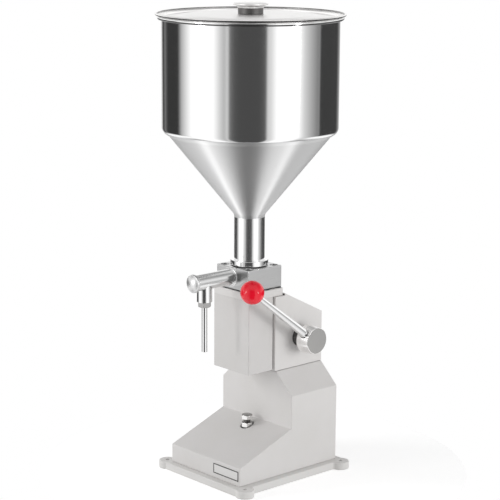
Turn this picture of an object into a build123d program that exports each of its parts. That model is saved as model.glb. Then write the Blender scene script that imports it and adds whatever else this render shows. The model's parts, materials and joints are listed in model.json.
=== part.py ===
from build123d import *
import math
import os

# Manual piston filling machine: a painted stand, a pump head with a side handle,
# a valve block with a discharge nozzle, and a covered hopper above it.
# Millimetres, +Z up. The origin is the centre of the four bench-bolt holes, on the
# underside of the base plate. The nozzle points to -Y and the handle is on the +X side.

# Fits
RUN = 0.05            # radial clearance of a shaft, pin or piston that moves
SLIP = 0.1            # radial clearance of a screw or spigot in its hole
SEAT = 0.3            # gap left under a valve, lid or guard that only rests

# Base plate
PLATE_W = 197.0
PLATE_D = 242.0
PLATE_T = 12.5
PLATE_EDGE_R = 1.5
EAR_X = 98.5          # bench-bolt holes, either side of the centre
EAR_Y = 109.0
EAR_R = 15.0
EAR_HOLE_R = 3.5
EAR_FILLET = 5.0

# Lower housing, heights above the base plate
BODY_W = 173.2
BODY_D = 220.0
LIP_H = 31.4
WALL_Y = 4.7          # face of the pedestal wall, where the sloping deck ends
DECK_H = 74.7
SHOULDER_H = 130.6
BODY_H = 166.0
BODY_TOP_W = 97.0
SHEET_T = 2.0
BEND_R = 2.0
HOUSING_FLANGE = 16.0
HOUSING_SCREW_R = 2.5
WELD_NUT_R = 6.0
WELD_NUT_H = 6.0

# Bare name-plate holder on the lip
LABEL_W = 61.0
LABEL_H = 16.5
LABEL_T = 0.8
LABEL_RIM = 1.0
LABEL_X = 52.6
LABEL_BOTTOM_H = 9.0

# Pump axis: piston, inlet valve and hopper share it
PUMP_Y = -13.5

# Head column and head plate
COLUMN_GAP = 2.6      # daylight between the pedestal top and the column
COLUMN_W = 87.8
COLUMN_FRONT_Y = -53.1
COLUMN_REAR_Y = 0.0
COLUMN_H = 124.9
COLUMN_WALL = 5.0
COLUMN_FLOOR = 7.0
COLUMN_LIP = 12.0     # rear return flanges of the column
COLUMN_POST_R = 6.0
HEAD_SCREW_R = 2.5
HEAD_SCREW_GRIP = 15.0
HEAD_HOLE_DEPTH = 17.0
PLATE_SCREW_X = (19.5, 38.0)
COLUMN_POST_FRONT = (16.0, -46.6)
COLUMN_POST_REAR = (37.8, -8.0)
COLUMN_EDGE_R = 2.0
HEAD_PLATE_T = 12.5
HEAD_PLATE_REAR_Y = 23.3

# Rear cover
COVER_W = 96.0
COVER_FRONT_Y = 2.0
COVER_T = 1.5
COVER_LIFT = 0.8
COVER_RIDGE_RISE = 3.5       # ridge above the column's top
COVER_RIDGE_GAP = 0.5        # ridge behind the head plate
COVER_SIDE_DROP = 3.8        # sides beside the head plate, below the ridge
COVER_REAR_DROP = 44.0       # rear edge below the ridge
COVER_RETURN = 10.0          # front edges folded in behind the column
COVER_LEDGE = 5.5            # side tops folded in under the head plate
COVER_SCREW_X = 36.0
COVER_SCREW_R = 2.0
COVER_SCREW_L = 10.0
COVER_NUT_R = 5.5
COVER_NUT_L = 8.0
COVER_SCREW_HEIGHTS = (16.0, 70.0)  # above the housing

# Cast frame inside the stand
FOOT_W = 100.0
FOOT_FRONT_Y = 18.0
FOOT_REAR_Y = 89.0
FOOT_T = 12.0
POST_W = 72.0
POST_FRONT_Y = 22.0
POST_REAR_Y = 84.0
POST_WALL = 6.0
WEB_W = 84.0
WEB_FRONT_Y = 12.5
WEB_T = 10.0
WEB_WINDOW_W = 22.0
CHEEK_INNER_X = 26.0
CHEEK_T = 10.0
CHEEK_REAR_Y = 82.0
FRAME_BOLT_X = 40.0
FRAME_BOLT_R = 4.0

# Handle shaft, hub and lever
SHAFT_Y = 58.0
SHAFT_RISE = 51.5      # shaft axis above the housing
SHAFT_R = 10.0
SHAFT_LEFT_X = -43.0
BEARING_R = 16.0
BUSH_R = 13.0
BUSH_L = 20.0
NOSE_X = 62.0         # end of the bearing nose that stands out of the cover
HUB_R = 22.0           # at the outer face; the hub widens towards the bearing
HUB_ROOT_R = 25.0
HUB_L = 24.0
HUB_FACE_X = 90.0
HUB_END_WALL = 4.0
LEVER_X = 78.0
LEVER_REST_DEG = 37.0  # lever above horizontal, at rest
LEVER_REACH = 169.0    # shaft centre to ball centre
LEVER_ROOT_R = 7.3
LEVER_TIP_R = 4.3
LEVER_THREAD_R = 5.0
LEVER_THREAD_L = 6.0
SPOT_FACE_R = 8.5       # counterbore in the hub around the lever's root
SPOT_FACE_DEPTH = 4.5
LEVER_SHOULDER_REACH = 21.0  # shaft centre to the lever's shoulder
BALL_R = 19.5
BALL_FLAT_R = 7.0
SET_SCREW_DEG = 180.0  # round the hub from the lever
SET_SCREW_R = 3.0

# Crank arm and crosshead
ARM_REST_DEG = 15.63   # crank arm above horizontal, at rest
ARM_HUB_R = 17.0
ARM_HUB_L = 22.0
ARM_T = 10.0
ARM_EYE_R = 10.0
PIN_R = 5.0
SLOT_CLEAR = 0.3       # covers the arc of the arm against the straight stroke
KEY_W = 6.0
KEY_H = 6.0
STROKE = 40.0

# Cylinder and piston, heights above the base plate where a length is not given
BORE_R = 20.0
CYLINDER_R = 25.0
CYLINDER_DROP = 61.0    # cylinder foot below the head plate's top
CYLINDER_FLANGE_R = 31.0
CYLINDER_FLANGE_T = 5.0
PISTON_DROP = 2.5      # top of the piston below the block gasket, at rest
PISTON_L = 18.0
PISTON_R = 19.9
RING_W = 3.2
RING_ROOT_R = 17.0
RING_R = 19.95
ROD_R = 7.0
CROSSHEAD_W = 24.0
CROSSHEAD_D = 22.0
CROSSHEAD_HALF_H = 19.5
CROSSHEAD_WINDOW_HALF_H = 14.5
TAIL_R = 6.0
TAIL_END_GAP = 1.0     # tail rod above the underside of the column, at rest

# Valve block
BLOCK_W = 78.0
BLOCK_D = 74.0
BLOCK_H = 36.5
BLOCK_CHAMFER = 0.8
BLOCK_GASKET_T = 1.0
BLOCK_SCREW_X = 29.0
BLOCK_SCREW_DY = 28.0
BLOCK_SCREW_R = 4.0
CHAMBER_R = 17.0
NIPPLE_R = 20.0
NIPPLE_SEAT_R = 21.0
NIPPLE_SEAT_T = 6.0
INLET_BORE_R = 11.0
PORT_R = 8.0

# Inlet valve
POPPET_R = 14.0
POPPET_T = 4.0
POPPET_SEAL_T = 1.7
STEM_R = 3.0
STEM_L = 21.2
GUIDE_H = 5.0
GUIDE_RIM = 3.0
INLET_TRAVEL = 5.0
INLET_SPRING_R = 6.0   # mean radius of the coil
INLET_WIRE_R = 0.6
INLET_TURNS = 5

# Discharge tube and nozzle
TUBE_RISE = 21.5       # tube axis above the block's underside
TUBE_R = 13.5
TUBE_BORE_R = 9.0
TUBE_SPIGOT_R = 12.0
TUBE_SPIGOT_L = 8.0
TUBE_FLANGE_R = 16.6
TUBE_FLANGE_T = 6.0
TUBE_END_Y = -131.5
SEAT_BORE_R = 6.0
SEAT_Y = -58.0
BRANCH_Y = -111.0
BRANCH_R = 12.6
BRANCH_DROP = 33.3     # branch end below the tube's axis
GLAND_THREAD_R = 8.0
GLAND_THREAD_L = 8.0
GLAND_AF = 19.3
GLAND_HEX_H = 8.6
NOZZLE_R = 4.65
NOZZLE_BORE_R = 3.5
NOZZLE_DROP = 117.5    # nozzle tip below the tube's axis
NOZZLE_FLANGE_R = 7.4
NOZZLE_FLANGE_T = 2.0
NOZZLE_SEAL_T = 1.0
BALL_VALVE_R = 8.2
DISCHARGE_TRAVEL = 6.0
DISCHARGE_SPRING_R = 6.2
DISCHARGE_WIRE_R = 0.7
DISCHARGE_TURNS = 9
CAP_R = 15.1
CAP_RIM_L = 4.5
CAP_DOME_L = 4.8
CAP_PLUG_L = 3.0
CAP_SEAL_T = 1.0

# Hopper
NECK_GASKET_T = 1.5
NECK_GASKET_R = 28.5
COLLAR_R = 31.5
COLLAR_H = 8.5
COLLAR_STEP = 4.5      # depth of the lower bore that screws on the nipple
HOPPER_T = 1.2
NECK_R = 25.4
NECK_H = 83.8          # cone's foot above the collar's underside
CONE_H = 132.2
BOWL_R = 144.4
BOWL_H = 192.6         # rim above the cone's top
BOWL_FOOT_IN = 11.0    # bowl's turned-in foot, on the cone's edge
BOWL_FOOT_H = 7.0
BOWL_BEND_R = 10.0
NECK_SEAM_DROP = 4.0   # weld seam below the neck's bend
BOWL_SEAM_RISE = 1.0   # weld seam just above the cone's top
RIM_OUT = 6.6          # rim beyond the bowl
RIM_BEAD_R = 3.2

# Lid
LID_OUT = 3.1          # lid beyond the rim
LID_BEAD_R = 1.8
LID_T = 1.0
LID_SPIGOT_GAP = 1.9   # lid's step inside the bowl
LID_SPIGOT_DROP = 4.0
LID_GROOVE_W = 11.0
LID_SLOPE_W = 29.0
LID_PLATEAU_RISE = 1.0
KNOB_FOOT_R = 20.5
KNOB_CAP_R = 28.5
KNOB_H = 19.0
KNOB_SCREW_R = 3.0

# Dose bolt: the stroke stop under the tail rod
DOSE_Y = -16.5
DOSE_SEAT_H = 63.5
DOSE_BOSS_R = 11.0
DOSE_HOLE_R = 11.4
DOSE_R = 6.0
DOSE_AF = 18.0
DOSE_NUT_H = 8.2
DOSE_WAIST = 5.2
DOSE_HEAD_H = 7.5
DOSE_SHANK_BELOW = 48.0  # shank below the nut seat, so that the bolt can rise by the stroke

# Places worked out from the sizes above
ORIGIN_H = PLATE_T
DECK_SLOPE = (DECK_H - LIP_H) / (WALL_Y + BODY_D / 2)
COLUMN_BOTTOM = ORIGIN_H + BODY_H + COLUMN_GAP
COLUMN_TOP = COLUMN_BOTTOM + COLUMN_H
COVER_REAR_Y = BODY_D / 2
COVER_RIDGE_Y = HEAD_PLATE_REAR_Y + COVER_RIDGE_GAP
COVER_RIDGE_Z = COLUMN_TOP + COVER_RIDGE_RISE
HEAD_TOP = COLUMN_TOP + HEAD_PLATE_T
BLOCK_BOTTOM = HEAD_TOP + BLOCK_GASKET_T
BLOCK_TOP = BLOCK_BOTTOM + BLOCK_H
COLLAR_BOTTOM = BLOCK_TOP + NECK_GASKET_T
NECK_END = COLLAR_BOTTOM + COLLAR_STEP
SHAFT_Z = ORIGIN_H + BODY_H + SHAFT_RISE
TUBE_Z = BLOCK_BOTTOM + TUBE_RISE
PISTON_TOP = HEAD_TOP - PISTON_DROP
PISTON_BOTTOM = PISTON_TOP - PISTON_L
BLOCK_FRONT_Y = PUMP_Y - BLOCK_D / 2
ARM_REACH = SHAFT_Y - PUMP_Y
PIN_Z = SHAFT_Z + ARM_REACH * math.tan(math.radians(ARM_REST_DEG))
HUB_INNER_X = HUB_FACE_X - HUB_L
DOSE_SEAT_Z = ORIGIN_H + DOSE_SEAT_H
CONE_BOTTOM = COLLAR_BOTTOM + NECK_H
CONE_TOP = CONE_BOTTOM + CONE_H
RIM_Z = CONE_TOP + BOWL_H
RIM_R = BOWL_R + RIM_OUT
LID_R = RIM_R + LID_OUT
LID_SPIGOT_R = BOWL_R - HOPPER_T - LID_SPIGOT_GAP
LID_GROOVE_R = LID_SPIGOT_R - LID_GROOVE_W
LID_PLATEAU_R = LID_GROOVE_R - LID_SLOPE_W
BOWL_SEAM_Z = CONE_TOP + BOWL_SEAM_RISE
NECK_SEAM_Z = CONE_BOTTOM - NECK_SEAM_DROP


def turned(profile, origin=(0, 0, 0), along=(0, 0, 1)):
    """Solid of revolution of a closed (radius, height) outline about an axis."""
    axis_plane = Plane(origin=origin, z_dir=along)
    face = Plane.XZ * make_face(Polyline(*profile, close=True))
    return axis_plane * revolve(face, Axis.Z)


def bar(radius, length, origin, along=(0, 0, 1)):
    """Round bar that starts at origin and runs for length along an axis."""
    return extrude(Plane(origin=origin, z_dir=along) * Circle(radius), length)


def ring(outer_r, inner_r, length, origin, along=(0, 0, 1)):
    """Plain ring or sleeve that starts at origin."""
    return extrude(Plane(origin=origin, z_dir=along) * (Circle(outer_r) - Circle(inner_r)), length)


def hexagon(across_flats, length, origin, along=(0, 0, 1), turn=0.0):
    """Hexagonal prism with its corner circle turned down at both ends."""
    corner_r = across_flats / math.sqrt(3)
    plane = Plane(origin=origin, z_dir=along)
    prism = extrude(plane * Rot(0, 0, turn) * RegularPolygon(corner_r, 6), length)
    bevel = (corner_r - across_flats / 2) * 0.6
    cone = turned([(0, 0), (corner_r - bevel, 0), (corner_r, bevel), (corner_r, length - bevel),
                   (corner_r - bevel, length), (0, length)], origin, along)
    return prism & cone


def block(x0, x1, y0, y1, z0, z1):
    """Rectangular solid between two corners."""
    centre = ((x0 + x1) / 2, (y0 + y1) / 2, (z0 + z1) / 2)
    return Pos(*centre) * Box(x1 - x0, y1 - y0, z1 - z0)


def side_profile(points, width):
    """Prism of a (y, z) outline, centred on x = 0."""
    face = Plane.YZ * make_face(Polyline(*points, close=True))
    return extrude(face, width / 2, both=True)


def cap_screw(radius, head_r, head_h, length, origin, along):
    """Socket screw: origin is under the head, along points the way the shank goes."""
    head_face = tuple(o - a * head_h for o, a in zip(origin, along))
    solid = bar(head_r, head_h, head_face, along) + bar(radius, length, origin, along)
    return solid - hexagon(radius * 1.5, head_h * 0.6, head_face, along)


def dome(radius, base, rise):
    """Arc from (radius, base) to the axis, square to the axis there."""
    sphere_r = (rise ** 2 + radius ** 2) / (2 * rise)
    half = math.asin(radius / sphere_r) / 2
    middle = (sphere_r * math.sin(half), base + rise - sphere_r * (1 - math.cos(half)))
    return ThreePointArc((radius, base), middle, (0, base + rise))


def corners(x, y):
    """The four places (+-x, +-y)."""
    return [(sx * x, sy * y) for sx in (-1, 1) for sy in (-1, 1)]


def spring(mean_r, wire_r, turns, length, origin, along):
    """Open coil spring with its first and last wire centres one wire radius inside its length."""
    path = Helix(pitch=(length - 2 * wire_r) / turns, height=length - 2 * wire_r, radius=mean_r)
    section = Plane(origin=path @ 0, z_dir=path % 0) * Circle(wire_r)
    coil = sweep(section, path, is_frenet=True)
    return Plane(origin=origin, z_dir=along) * Pos(0, 0, wire_r) * coil


def deck_z(y):
    """Height of the sloping deck's outer face."""
    return ORIGIN_H + LIP_H + DECK_SLOPE * (y + BODY_D / 2)


FRAME_BOLTS = [(x, y) for x in (-FRAME_BOLT_X, FRAME_BOLT_X)
               for y in (FOOT_FRONT_Y + 10, FOOT_REAR_Y - 10)]
HOUSING_SCREWS = [(x, y) for x in (-(BODY_W / 2 - 10), BODY_W / 2 - 10)
                  for y in (-BODY_D / 2 + 14, 0, BODY_D / 2 - 14)]
PLATE_SCREWS = [(side * x, WEB_FRONT_Y + WEB_T / 2) for x in PLATE_SCREW_X for side in (-1, 1)]
COLUMN_SCREWS = [(side * x, y) for x, y in (COLUMN_POST_FRONT, COLUMN_POST_REAR) for side in (-1, 1)]
BLOCK_SCREWS = [(x, PUMP_Y + dy) for x, dy in corners(BLOCK_SCREW_X, BLOCK_SCREW_DY)]


# Stand

def make_base_plate():
    """Flat cast plate with a drilled ear at each corner."""
    outline = Rectangle(PLATE_W, PLATE_D)
    for x, y in corners(EAR_X, EAR_Y):
        outline += Pos(x, y) * Circle(EAR_R)
    inner_corners = [v for v in outline.vertices() if abs(abs(v.X) - PLATE_W / 2) < 0.01]
    outline = fillet(inner_corners, EAR_FILLET)
    plate = extrude(outline, PLATE_T)
    plate = fillet(plate.faces().sort_by(Axis.Z)[-1].outer_wire().edges(), PLATE_EDGE_R)
    for x, y in corners(EAR_X, EAR_Y):
        plate -= bar(EAR_HOLE_R, PLATE_T, (x, y, 0))
    for x, y in FRAME_BOLTS:
        plate -= bar(FRAME_BOLT_R + SLIP, PLATE_T, (x, y, 0)) + bar(7.5, 8.5, (x, y, 0))
    for x, y in HOUSING_SCREWS:
        plate -= bar(HOUSING_SCREW_R + SLIP, PLATE_T, (x, y, 0)) + bar(5.0, 6.0, (x, y, 0))
    return plate


def housing_form(skin):
    """Outer form of the lower housing, drawn in by skin on every closed side."""
    lip, rear = -BODY_D / 2 + skin, BODY_D / 2 - skin
    wall = WALL_Y + skin
    drop = skin * math.sqrt(1 + DECK_SLOPE ** 2)
    z0 = ORIGIN_H - (1 if skin else 0)
    top = ORIGIN_H + BODY_H - skin
    side = side_profile([(lip, z0), (lip, deck_z(lip) - (drop if skin else 0)),
                         (wall, deck_z(wall) - (drop if skin else 0)), (wall, top), (rear, top), (rear, z0)],
                        BODY_W - 2 * skin)
    rise = BODY_H - SHOULDER_H
    run = (BODY_W - BODY_TOP_W) / 2
    shoulder_in = skin * (math.hypot(rise, run) - run) / rise
    half, top_half = BODY_W / 2 - skin, BODY_TOP_W / 2 - skin * (math.hypot(rise, run) - rise) / run
    front = Plane.XZ * make_face(Polyline(
        (-half, z0), (-half, ORIGIN_H + SHOULDER_H - shoulder_in), (-top_half, top), (top_half, top),
        (half, ORIGIN_H + SHOULDER_H - shoulder_in), (half, z0), close=True))
    return side & extrude(front, BODY_D, both=True)


def make_lower_housing():
    """Folded sheet body: lip, sloping deck, pedestal wall, shoulders and top."""
    outer = housing_form(0)
    outer = fillet(outer.edges(), BEND_R)
    shell = outer - housing_form(SHEET_T)
    inner_w, inner_d = BODY_W - 2 * SHEET_T, BODY_D - 2 * SHEET_T
    flange = Rectangle(inner_w, inner_d) - Rectangle(inner_w - 2 * HOUSING_FLANGE, inner_d - 2 * HOUSING_FLANGE)
    shell += extrude(Pos(0, 0, ORIGIN_H) * flange, SHEET_T) & outer
    for x, y in HOUSING_SCREWS:
        shell += bar(WELD_NUT_R, WELD_NUT_H, (x, y, ORIGIN_H + SHEET_T))
        shell -= bar(HOUSING_SCREW_R + SLIP, SHEET_T + WELD_NUT_H, (x, y, ORIGIN_H))
    shell -= block(-40, 40, WALL_Y + 6, BODY_D / 2 - 8, ORIGIN_H + BODY_H - 5, ORIGIN_H + BODY_H + 1)
    shell -= bar(DOSE_HOLE_R, 40, (0, DOSE_Y, DOSE_SEAT_Z - 20))
    return shell


def make_label_plate():
    """Blank plate with a raised rim, on the right of the lip."""
    z = ORIGIN_H + LABEL_BOTTOM_H + LABEL_H / 2
    face = Plane(origin=(LABEL_X, -BODY_D / 2, z), x_dir=(1, 0, 0), z_dir=(0, -1, 0))
    plate = extrude(face * Rectangle(LABEL_W, LABEL_H), LABEL_T)
    panel = Rectangle(LABEL_W - 2 * LABEL_RIM, LABEL_H - 2 * LABEL_RIM)
    return plate - extrude(face.offset(LABEL_T * 0.6) * panel, LABEL_T)


def make_main_frame():
    """Cast frame: foot, hollow post, slotted web, two bearing cheeks and the stop arm."""
    top = ORIGIN_H + BODY_H
    foot = block(-FOOT_W / 2, FOOT_W / 2, FOOT_FRONT_Y, FOOT_REAR_Y, ORIGIN_H, ORIGIN_H + FOOT_T)
    post = block(-POST_W / 2, POST_W / 2, POST_FRONT_Y, POST_REAR_Y, ORIGIN_H + FOOT_T, top)
    post -= block(-POST_W / 2 + POST_WALL, POST_W / 2 - POST_WALL, POST_FRONT_Y + POST_WALL,
                  POST_REAR_Y - POST_WALL, ORIGIN_H + FOOT_T, top - POST_WALL)
    web = block(-36, 36, WEB_FRONT_Y, WEB_FRONT_Y + WEB_T, top - 3 * WEB_T, COLUMN_TOP)
    web += block(-WEB_W / 2, WEB_W / 2, WEB_FRONT_Y, WEB_FRONT_Y + WEB_T, top + 10, COLUMN_TOP)
    half_rise = ARM_REACH * math.tan(math.radians(ARM_REST_DEG)) + ARM_HUB_R
    web -= block(-WEB_WINDOW_W / 2, WEB_WINDOW_W / 2, WEB_FRONT_Y, WEB_FRONT_Y + WEB_T,
                 SHAFT_Z - half_rise, SHAFT_Z + half_rise)
    cheek_outline = [(WEB_FRONT_Y + WEB_T, top - POST_WALL), (WEB_FRONT_Y + WEB_T, COLUMN_TOP - 12),
                     (SHAFT_Y - 6, SHAFT_Z + 26), (CHEEK_REAR_Y, SHAFT_Z + 10), (CHEEK_REAR_Y, top - POST_WALL)]
    cheeks = side_profile(cheek_outline, 2 * (CHEEK_INNER_X + CHEEK_T))
    cheeks -= side_profile([(y, z + (1 if z > SHAFT_Z else 6)) for y, z in cheek_outline], 2 * CHEEK_INNER_X)
    frame = foot + post + web + cheeks
    right_x = CHEEK_INNER_X + CHEEK_T
    frame += bar(BEARING_R, NOSE_X - right_x, (right_x, SHAFT_Y, SHAFT_Z), (1, 0, 0))
    frame -= bar(SHAFT_R + 1, 2 * NOSE_X, (-NOSE_X, SHAFT_Y, SHAFT_Z), (1, 0, 0))
    frame -= bar(BUSH_R + 0.02, BUSH_L, (NOSE_X - BUSH_L, SHAFT_Y, SHAFT_Z), (1, 0, 0))
    frame -= bar(BUSH_R + 0.02, CHEEK_T, (-right_x, SHAFT_Y, SHAFT_Z), (1, 0, 0))
    arm_top = deck_z(DOSE_Y - DOSE_BOSS_R) - SHEET_T * 1.5
    frame += block(-12, 12, DOSE_Y, POST_FRONT_Y, arm_top - 16, arm_top)
    frame += bar(DOSE_BOSS_R, DOSE_SEAT_Z - arm_top + 16, (0, DOSE_Y, arm_top - 16))
    frame -= bar(DOSE_R + RUN, 60, (0, DOSE_Y, DOSE_SEAT_Z - 50))
    for x, y in FRAME_BOLTS:
        frame -= bar(FRAME_BOLT_R + SLIP, FOOT_T, (x, y, ORIGIN_H))
    for x, y in PLATE_SCREWS:
        frame -= bar(HEAD_SCREW_R + SLIP, HEAD_HOLE_DEPTH, (x, y, COLUMN_TOP - HEAD_HOLE_DEPTH))
    return frame


def make_frame_bolts():
    """Four socket screws from under the base plate into the frame's foot."""
    return [cap_screw(FRAME_BOLT_R, 6.5, 8.0, FOOT_T + PLATE_T - 8.5 - 1, (x, y, 8.5), (0, 0, 1))
            for x, y in FRAME_BOLTS]


def make_housing_screws():
    """Six socket screws from under the base plate into the housing's weld nuts."""
    return [cap_screw(HOUSING_SCREW_R, 4.25, 5.0, PLATE_T - 6 + SHEET_T + WELD_NUT_H - 1, (x, y, 6), (0, 0, 1))
            for x, y in HOUSING_SCREWS]


# Dose bolt

def make_dose_bolt():
    """Hexagon bolt whose head stops the tail rod; it screws up to shorten the stroke."""
    head_z = DOSE_SEAT_Z + DOSE_NUT_H + DOSE_WAIST
    head = hexagon(DOSE_AF, DOSE_HEAD_H, (0, DOSE_Y, head_z), turn=18)
    return head + bar(DOSE_R, head_z - DOSE_SEAT_Z + DOSE_SHANK_BELOW, (0, DOSE_Y, DOSE_SEAT_Z - DOSE_SHANK_BELOW))


def make_dose_lock_nut():
    """Hexagon nut that locks the dose bolt on the frame's boss."""
    nut = hexagon(DOSE_AF, DOSE_NUT_H, (0, DOSE_Y, DOSE_SEAT_Z), turn=18)
    return nut - bar(DOSE_R + RUN, DOSE_NUT_H, (0, DOSE_Y, DOSE_SEAT_Z))


# Pump head

def make_head_column():
    """Cast channel that guards the cylinder and guides the tail rod in its floor."""
    half = COLUMN_W / 2
    shell = block(-half, half, COLUMN_FRONT_Y, COLUMN_REAR_Y, COLUMN_BOTTOM, COLUMN_TOP)
    uprights = [e for e in shell.edges().filter_by(Axis.Z) if e.center().Y < COLUMN_REAR_Y - 1]
    shell = fillet(uprights, COLUMN_EDGE_R)
    floor_z = COLUMN_BOTTOM + COLUMN_FLOOR
    shell -= block(-half + COLUMN_WALL, half - COLUMN_WALL, COLUMN_FRONT_Y + COLUMN_WALL,
                   COLUMN_REAR_Y - COLUMN_WALL, floor_z, COLUMN_TOP)
    opening = half - COLUMN_WALL - COLUMN_LIP
    shell -= block(-opening, opening, COLUMN_REAR_Y - COLUMN_WALL, COLUMN_REAR_Y, floor_z, COLUMN_TOP)
    for x, y in COLUMN_SCREWS:
        shell += bar(COLUMN_POST_R, COLUMN_TOP - floor_z, (x, y, floor_z))
        shell -= bar(HEAD_SCREW_R + SLIP, HEAD_HOLE_DEPTH, (x, y, COLUMN_TOP - HEAD_HOLE_DEPTH))
    return shell - bar(9.02, COLUMN_FLOOR, (0, PUMP_Y, COLUMN_BOTTOM))


def make_guide_bush():
    """Flanged bronze bush for the tail rod."""
    return turned([(TAIL_R + RUN, 0), (9, 0), (9, COLUMN_FLOOR), (11.5, COLUMN_FLOOR),
                   (11.5, COLUMN_FLOOR + 1.5), (TAIL_R + RUN, COLUMN_FLOOR + 1.5)], (0, PUMP_Y, COLUMN_BOTTOM))


def countersink(radius, origin):
    """Screw hole with a countersunk mouth at its top, used as a cutter."""
    x, y, z = origin
    return bar(radius + SLIP, HEAD_PLATE_T, (x, y, z - HEAD_PLATE_T)) + turned(
        [(0, 0), (2 * radius + SLIP, 0), (radius + SLIP, -radius), (0, -radius)], origin)


def countersunk_screw(radius, length, origin):
    """Countersunk screw whose flat head is flush with origin."""
    x, y, z = origin
    screw = turned([(0, 0), (2 * radius, 0), (radius, -radius), (radius, -length), (0, -length)], origin)
    return screw - hexagon(radius * 1.1, radius, (x, y, z - radius))


def make_head_plate():
    """Thick plate that ties the column to the frame and carries the cylinder and block."""
    half = COLUMN_W / 2
    plate = block(-half, half, COLUMN_FRONT_Y, HEAD_PLATE_REAR_Y, COLUMN_TOP, HEAD_TOP)
    plate = fillet(plate.edges().filter_by(Axis.Z), COLUMN_EDGE_R)
    plate = chamfer(plate.faces().sort_by(Axis.Z)[-1].outer_wire().edges(), 0.6)
    plate -= bar(CYLINDER_R + SLIP, HEAD_PLATE_T, (0, PUMP_Y, COLUMN_TOP))
    plate -= bar(CYLINDER_FLANGE_R + SLIP, CYLINDER_FLANGE_T, (0, PUMP_Y, HEAD_TOP - CYLINDER_FLANGE_T))
    for x, y in BLOCK_SCREWS:
        plate -= bar(BLOCK_SCREW_R + SLIP, HEAD_PLATE_T, (x, y, COLUMN_TOP))
    for x, y in COLUMN_SCREWS:
        plate -= countersink(HEAD_SCREW_R, (x, y, HEAD_TOP))
    for x, y in PLATE_SCREWS:
        plate -= countersink(HEAD_SCREW_R, (x, y, HEAD_TOP))
    return plate


def make_column_screws():
    """Four countersunk screws through the head plate into the column's posts."""
    return [countersunk_screw(HEAD_SCREW_R, HEAD_PLATE_T + HEAD_SCREW_GRIP, (x, y, HEAD_TOP)) for x, y in COLUMN_SCREWS]


def make_head_plate_screws():
    """Four countersunk screws through the head plate into the frame's web."""
    return [countersunk_screw(HEAD_SCREW_R, HEAD_PLATE_T + HEAD_SCREW_GRIP, (x, y, HEAD_TOP)) for x, y in PLATE_SCREWS]


def cover_outline(skin):
    """Side outline of the rear cover; the inner one stays open below, in front and over the web."""
    slope = math.atan2(COVER_REAR_DROP, COVER_REAR_Y - COVER_RIDGE_Y)
    drop = skin / math.cos(slope)
    rear = COVER_REAR_Y - skin
    base = ORIGIN_H + BODY_H + COVER_LIFT
    side_top, ridge = COVER_RIDGE_Z - COVER_SIDE_DROP, COVER_RIDGE_Z
    rear_top = ridge - COVER_REAR_DROP - drop + math.tan(slope) * skin
    if skin:
        over = ridge + 10
        return [(COVER_FRONT_Y - 5, base - 5), (COVER_FRONT_Y - 5, over), (COVER_RIDGE_Y, over),
                (COVER_RIDGE_Y, ridge - drop), (rear, rear_top), (rear, base - 5)]
    return [(COVER_FRONT_Y, base), (COVER_FRONT_Y, side_top), (COVER_RIDGE_Y, side_top),
            (COVER_RIDGE_Y, ridge), (rear, rear_top), (rear, base)]


def make_rear_cover():
    """Sheet cover over the frame's cheeks: folded front edges, sloping top and a hole for the bearing nose."""
    cover = side_profile(cover_outline(0), COVER_W)
    folds = [e for e in cover.edges() if e.center().Y > COVER_RIDGE_Y + 1
             and e.center().Z > ORIGIN_H + BODY_H + 2]
    cover = fillet(folds, COVER_T * 0.7)
    cover -= side_profile(cover_outline(COVER_T), COVER_W - 2 * COVER_T)
    half = COVER_W / 2
    base, side_top = ORIGIN_H + BODY_H + COVER_LIFT, COVER_RIDGE_Z - COVER_SIDE_DROP
    for side in (-1, 1):
        inner, ledge = sorted((side * half, side * (half - COVER_RETURN))), sorted((side * half, side * (half - COVER_LEDGE)))
        cover += block(*inner, COVER_FRONT_Y, COVER_FRONT_Y + COVER_T, base, side_top)
        cover += block(*ledge, COVER_FRONT_Y, COVER_RIDGE_Y, side_top - COVER_T, side_top)
    cover -= bar(BEARING_R + SEAT, COVER_W, (0, SHAFT_Y, SHAFT_Z), (1, 0, 0))
    for x, z in cover_screw_places():
        cover += bar(COVER_NUT_R, COVER_NUT_L, (x, COVER_REAR_Y - COVER_T - COVER_NUT_L, z), (0, 1, 0))
        cover -= bar(COVER_SCREW_R + SLIP, COVER_SCREW_L + COVER_T, (x, COVER_REAR_Y - COVER_SCREW_L - 1, z), (0, 1, 0))
    return cover


def cover_screw_places():
    """Places of the rear screws, as (x, z)."""
    return [(x, ORIGIN_H + BODY_H + h) for x in (-COVER_SCREW_X, COVER_SCREW_X) for h in COVER_SCREW_HEIGHTS]


def make_cover_screws():
    """Pan-head screws in the back of the rear cover."""
    screws = []
    for x, z in cover_screw_places():
        r = COVER_SCREW_R
        head = turned([(0, 0), (2 * r, 0), (2 * r, 0.6 * r), (1.5 * r, 1.2 * r), (0, 1.4 * r)],
                      (x, COVER_REAR_Y, z), (0, 1, 0))
        screws.append(head + bar(r, COVER_SCREW_L, (x, COVER_REAR_Y - COVER_SCREW_L, z), (0, 1, 0)))
    return screws


# Cylinder, piston and crosshead

def make_cylinder():
    """Honed sleeve with a clamping flange between the head plate and the block gasket."""
    bottom = HEAD_TOP - CYLINDER_DROP
    return turned([(BORE_R, bottom), (CYLINDER_R, bottom), (CYLINDER_R, HEAD_TOP - CYLINDER_FLANGE_T),
                   (CYLINDER_FLANGE_R, HEAD_TOP - CYLINDER_FLANGE_T), (CYLINDER_FLANGE_R, HEAD_TOP),
                   (BORE_R, HEAD_TOP)], (0, PUMP_Y, 0))


def ring_heights():
    """Bottoms of the two seal grooves."""
    return [PISTON_BOTTOM + 3.5, PISTON_TOP - 3.5 - RING_W]


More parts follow.
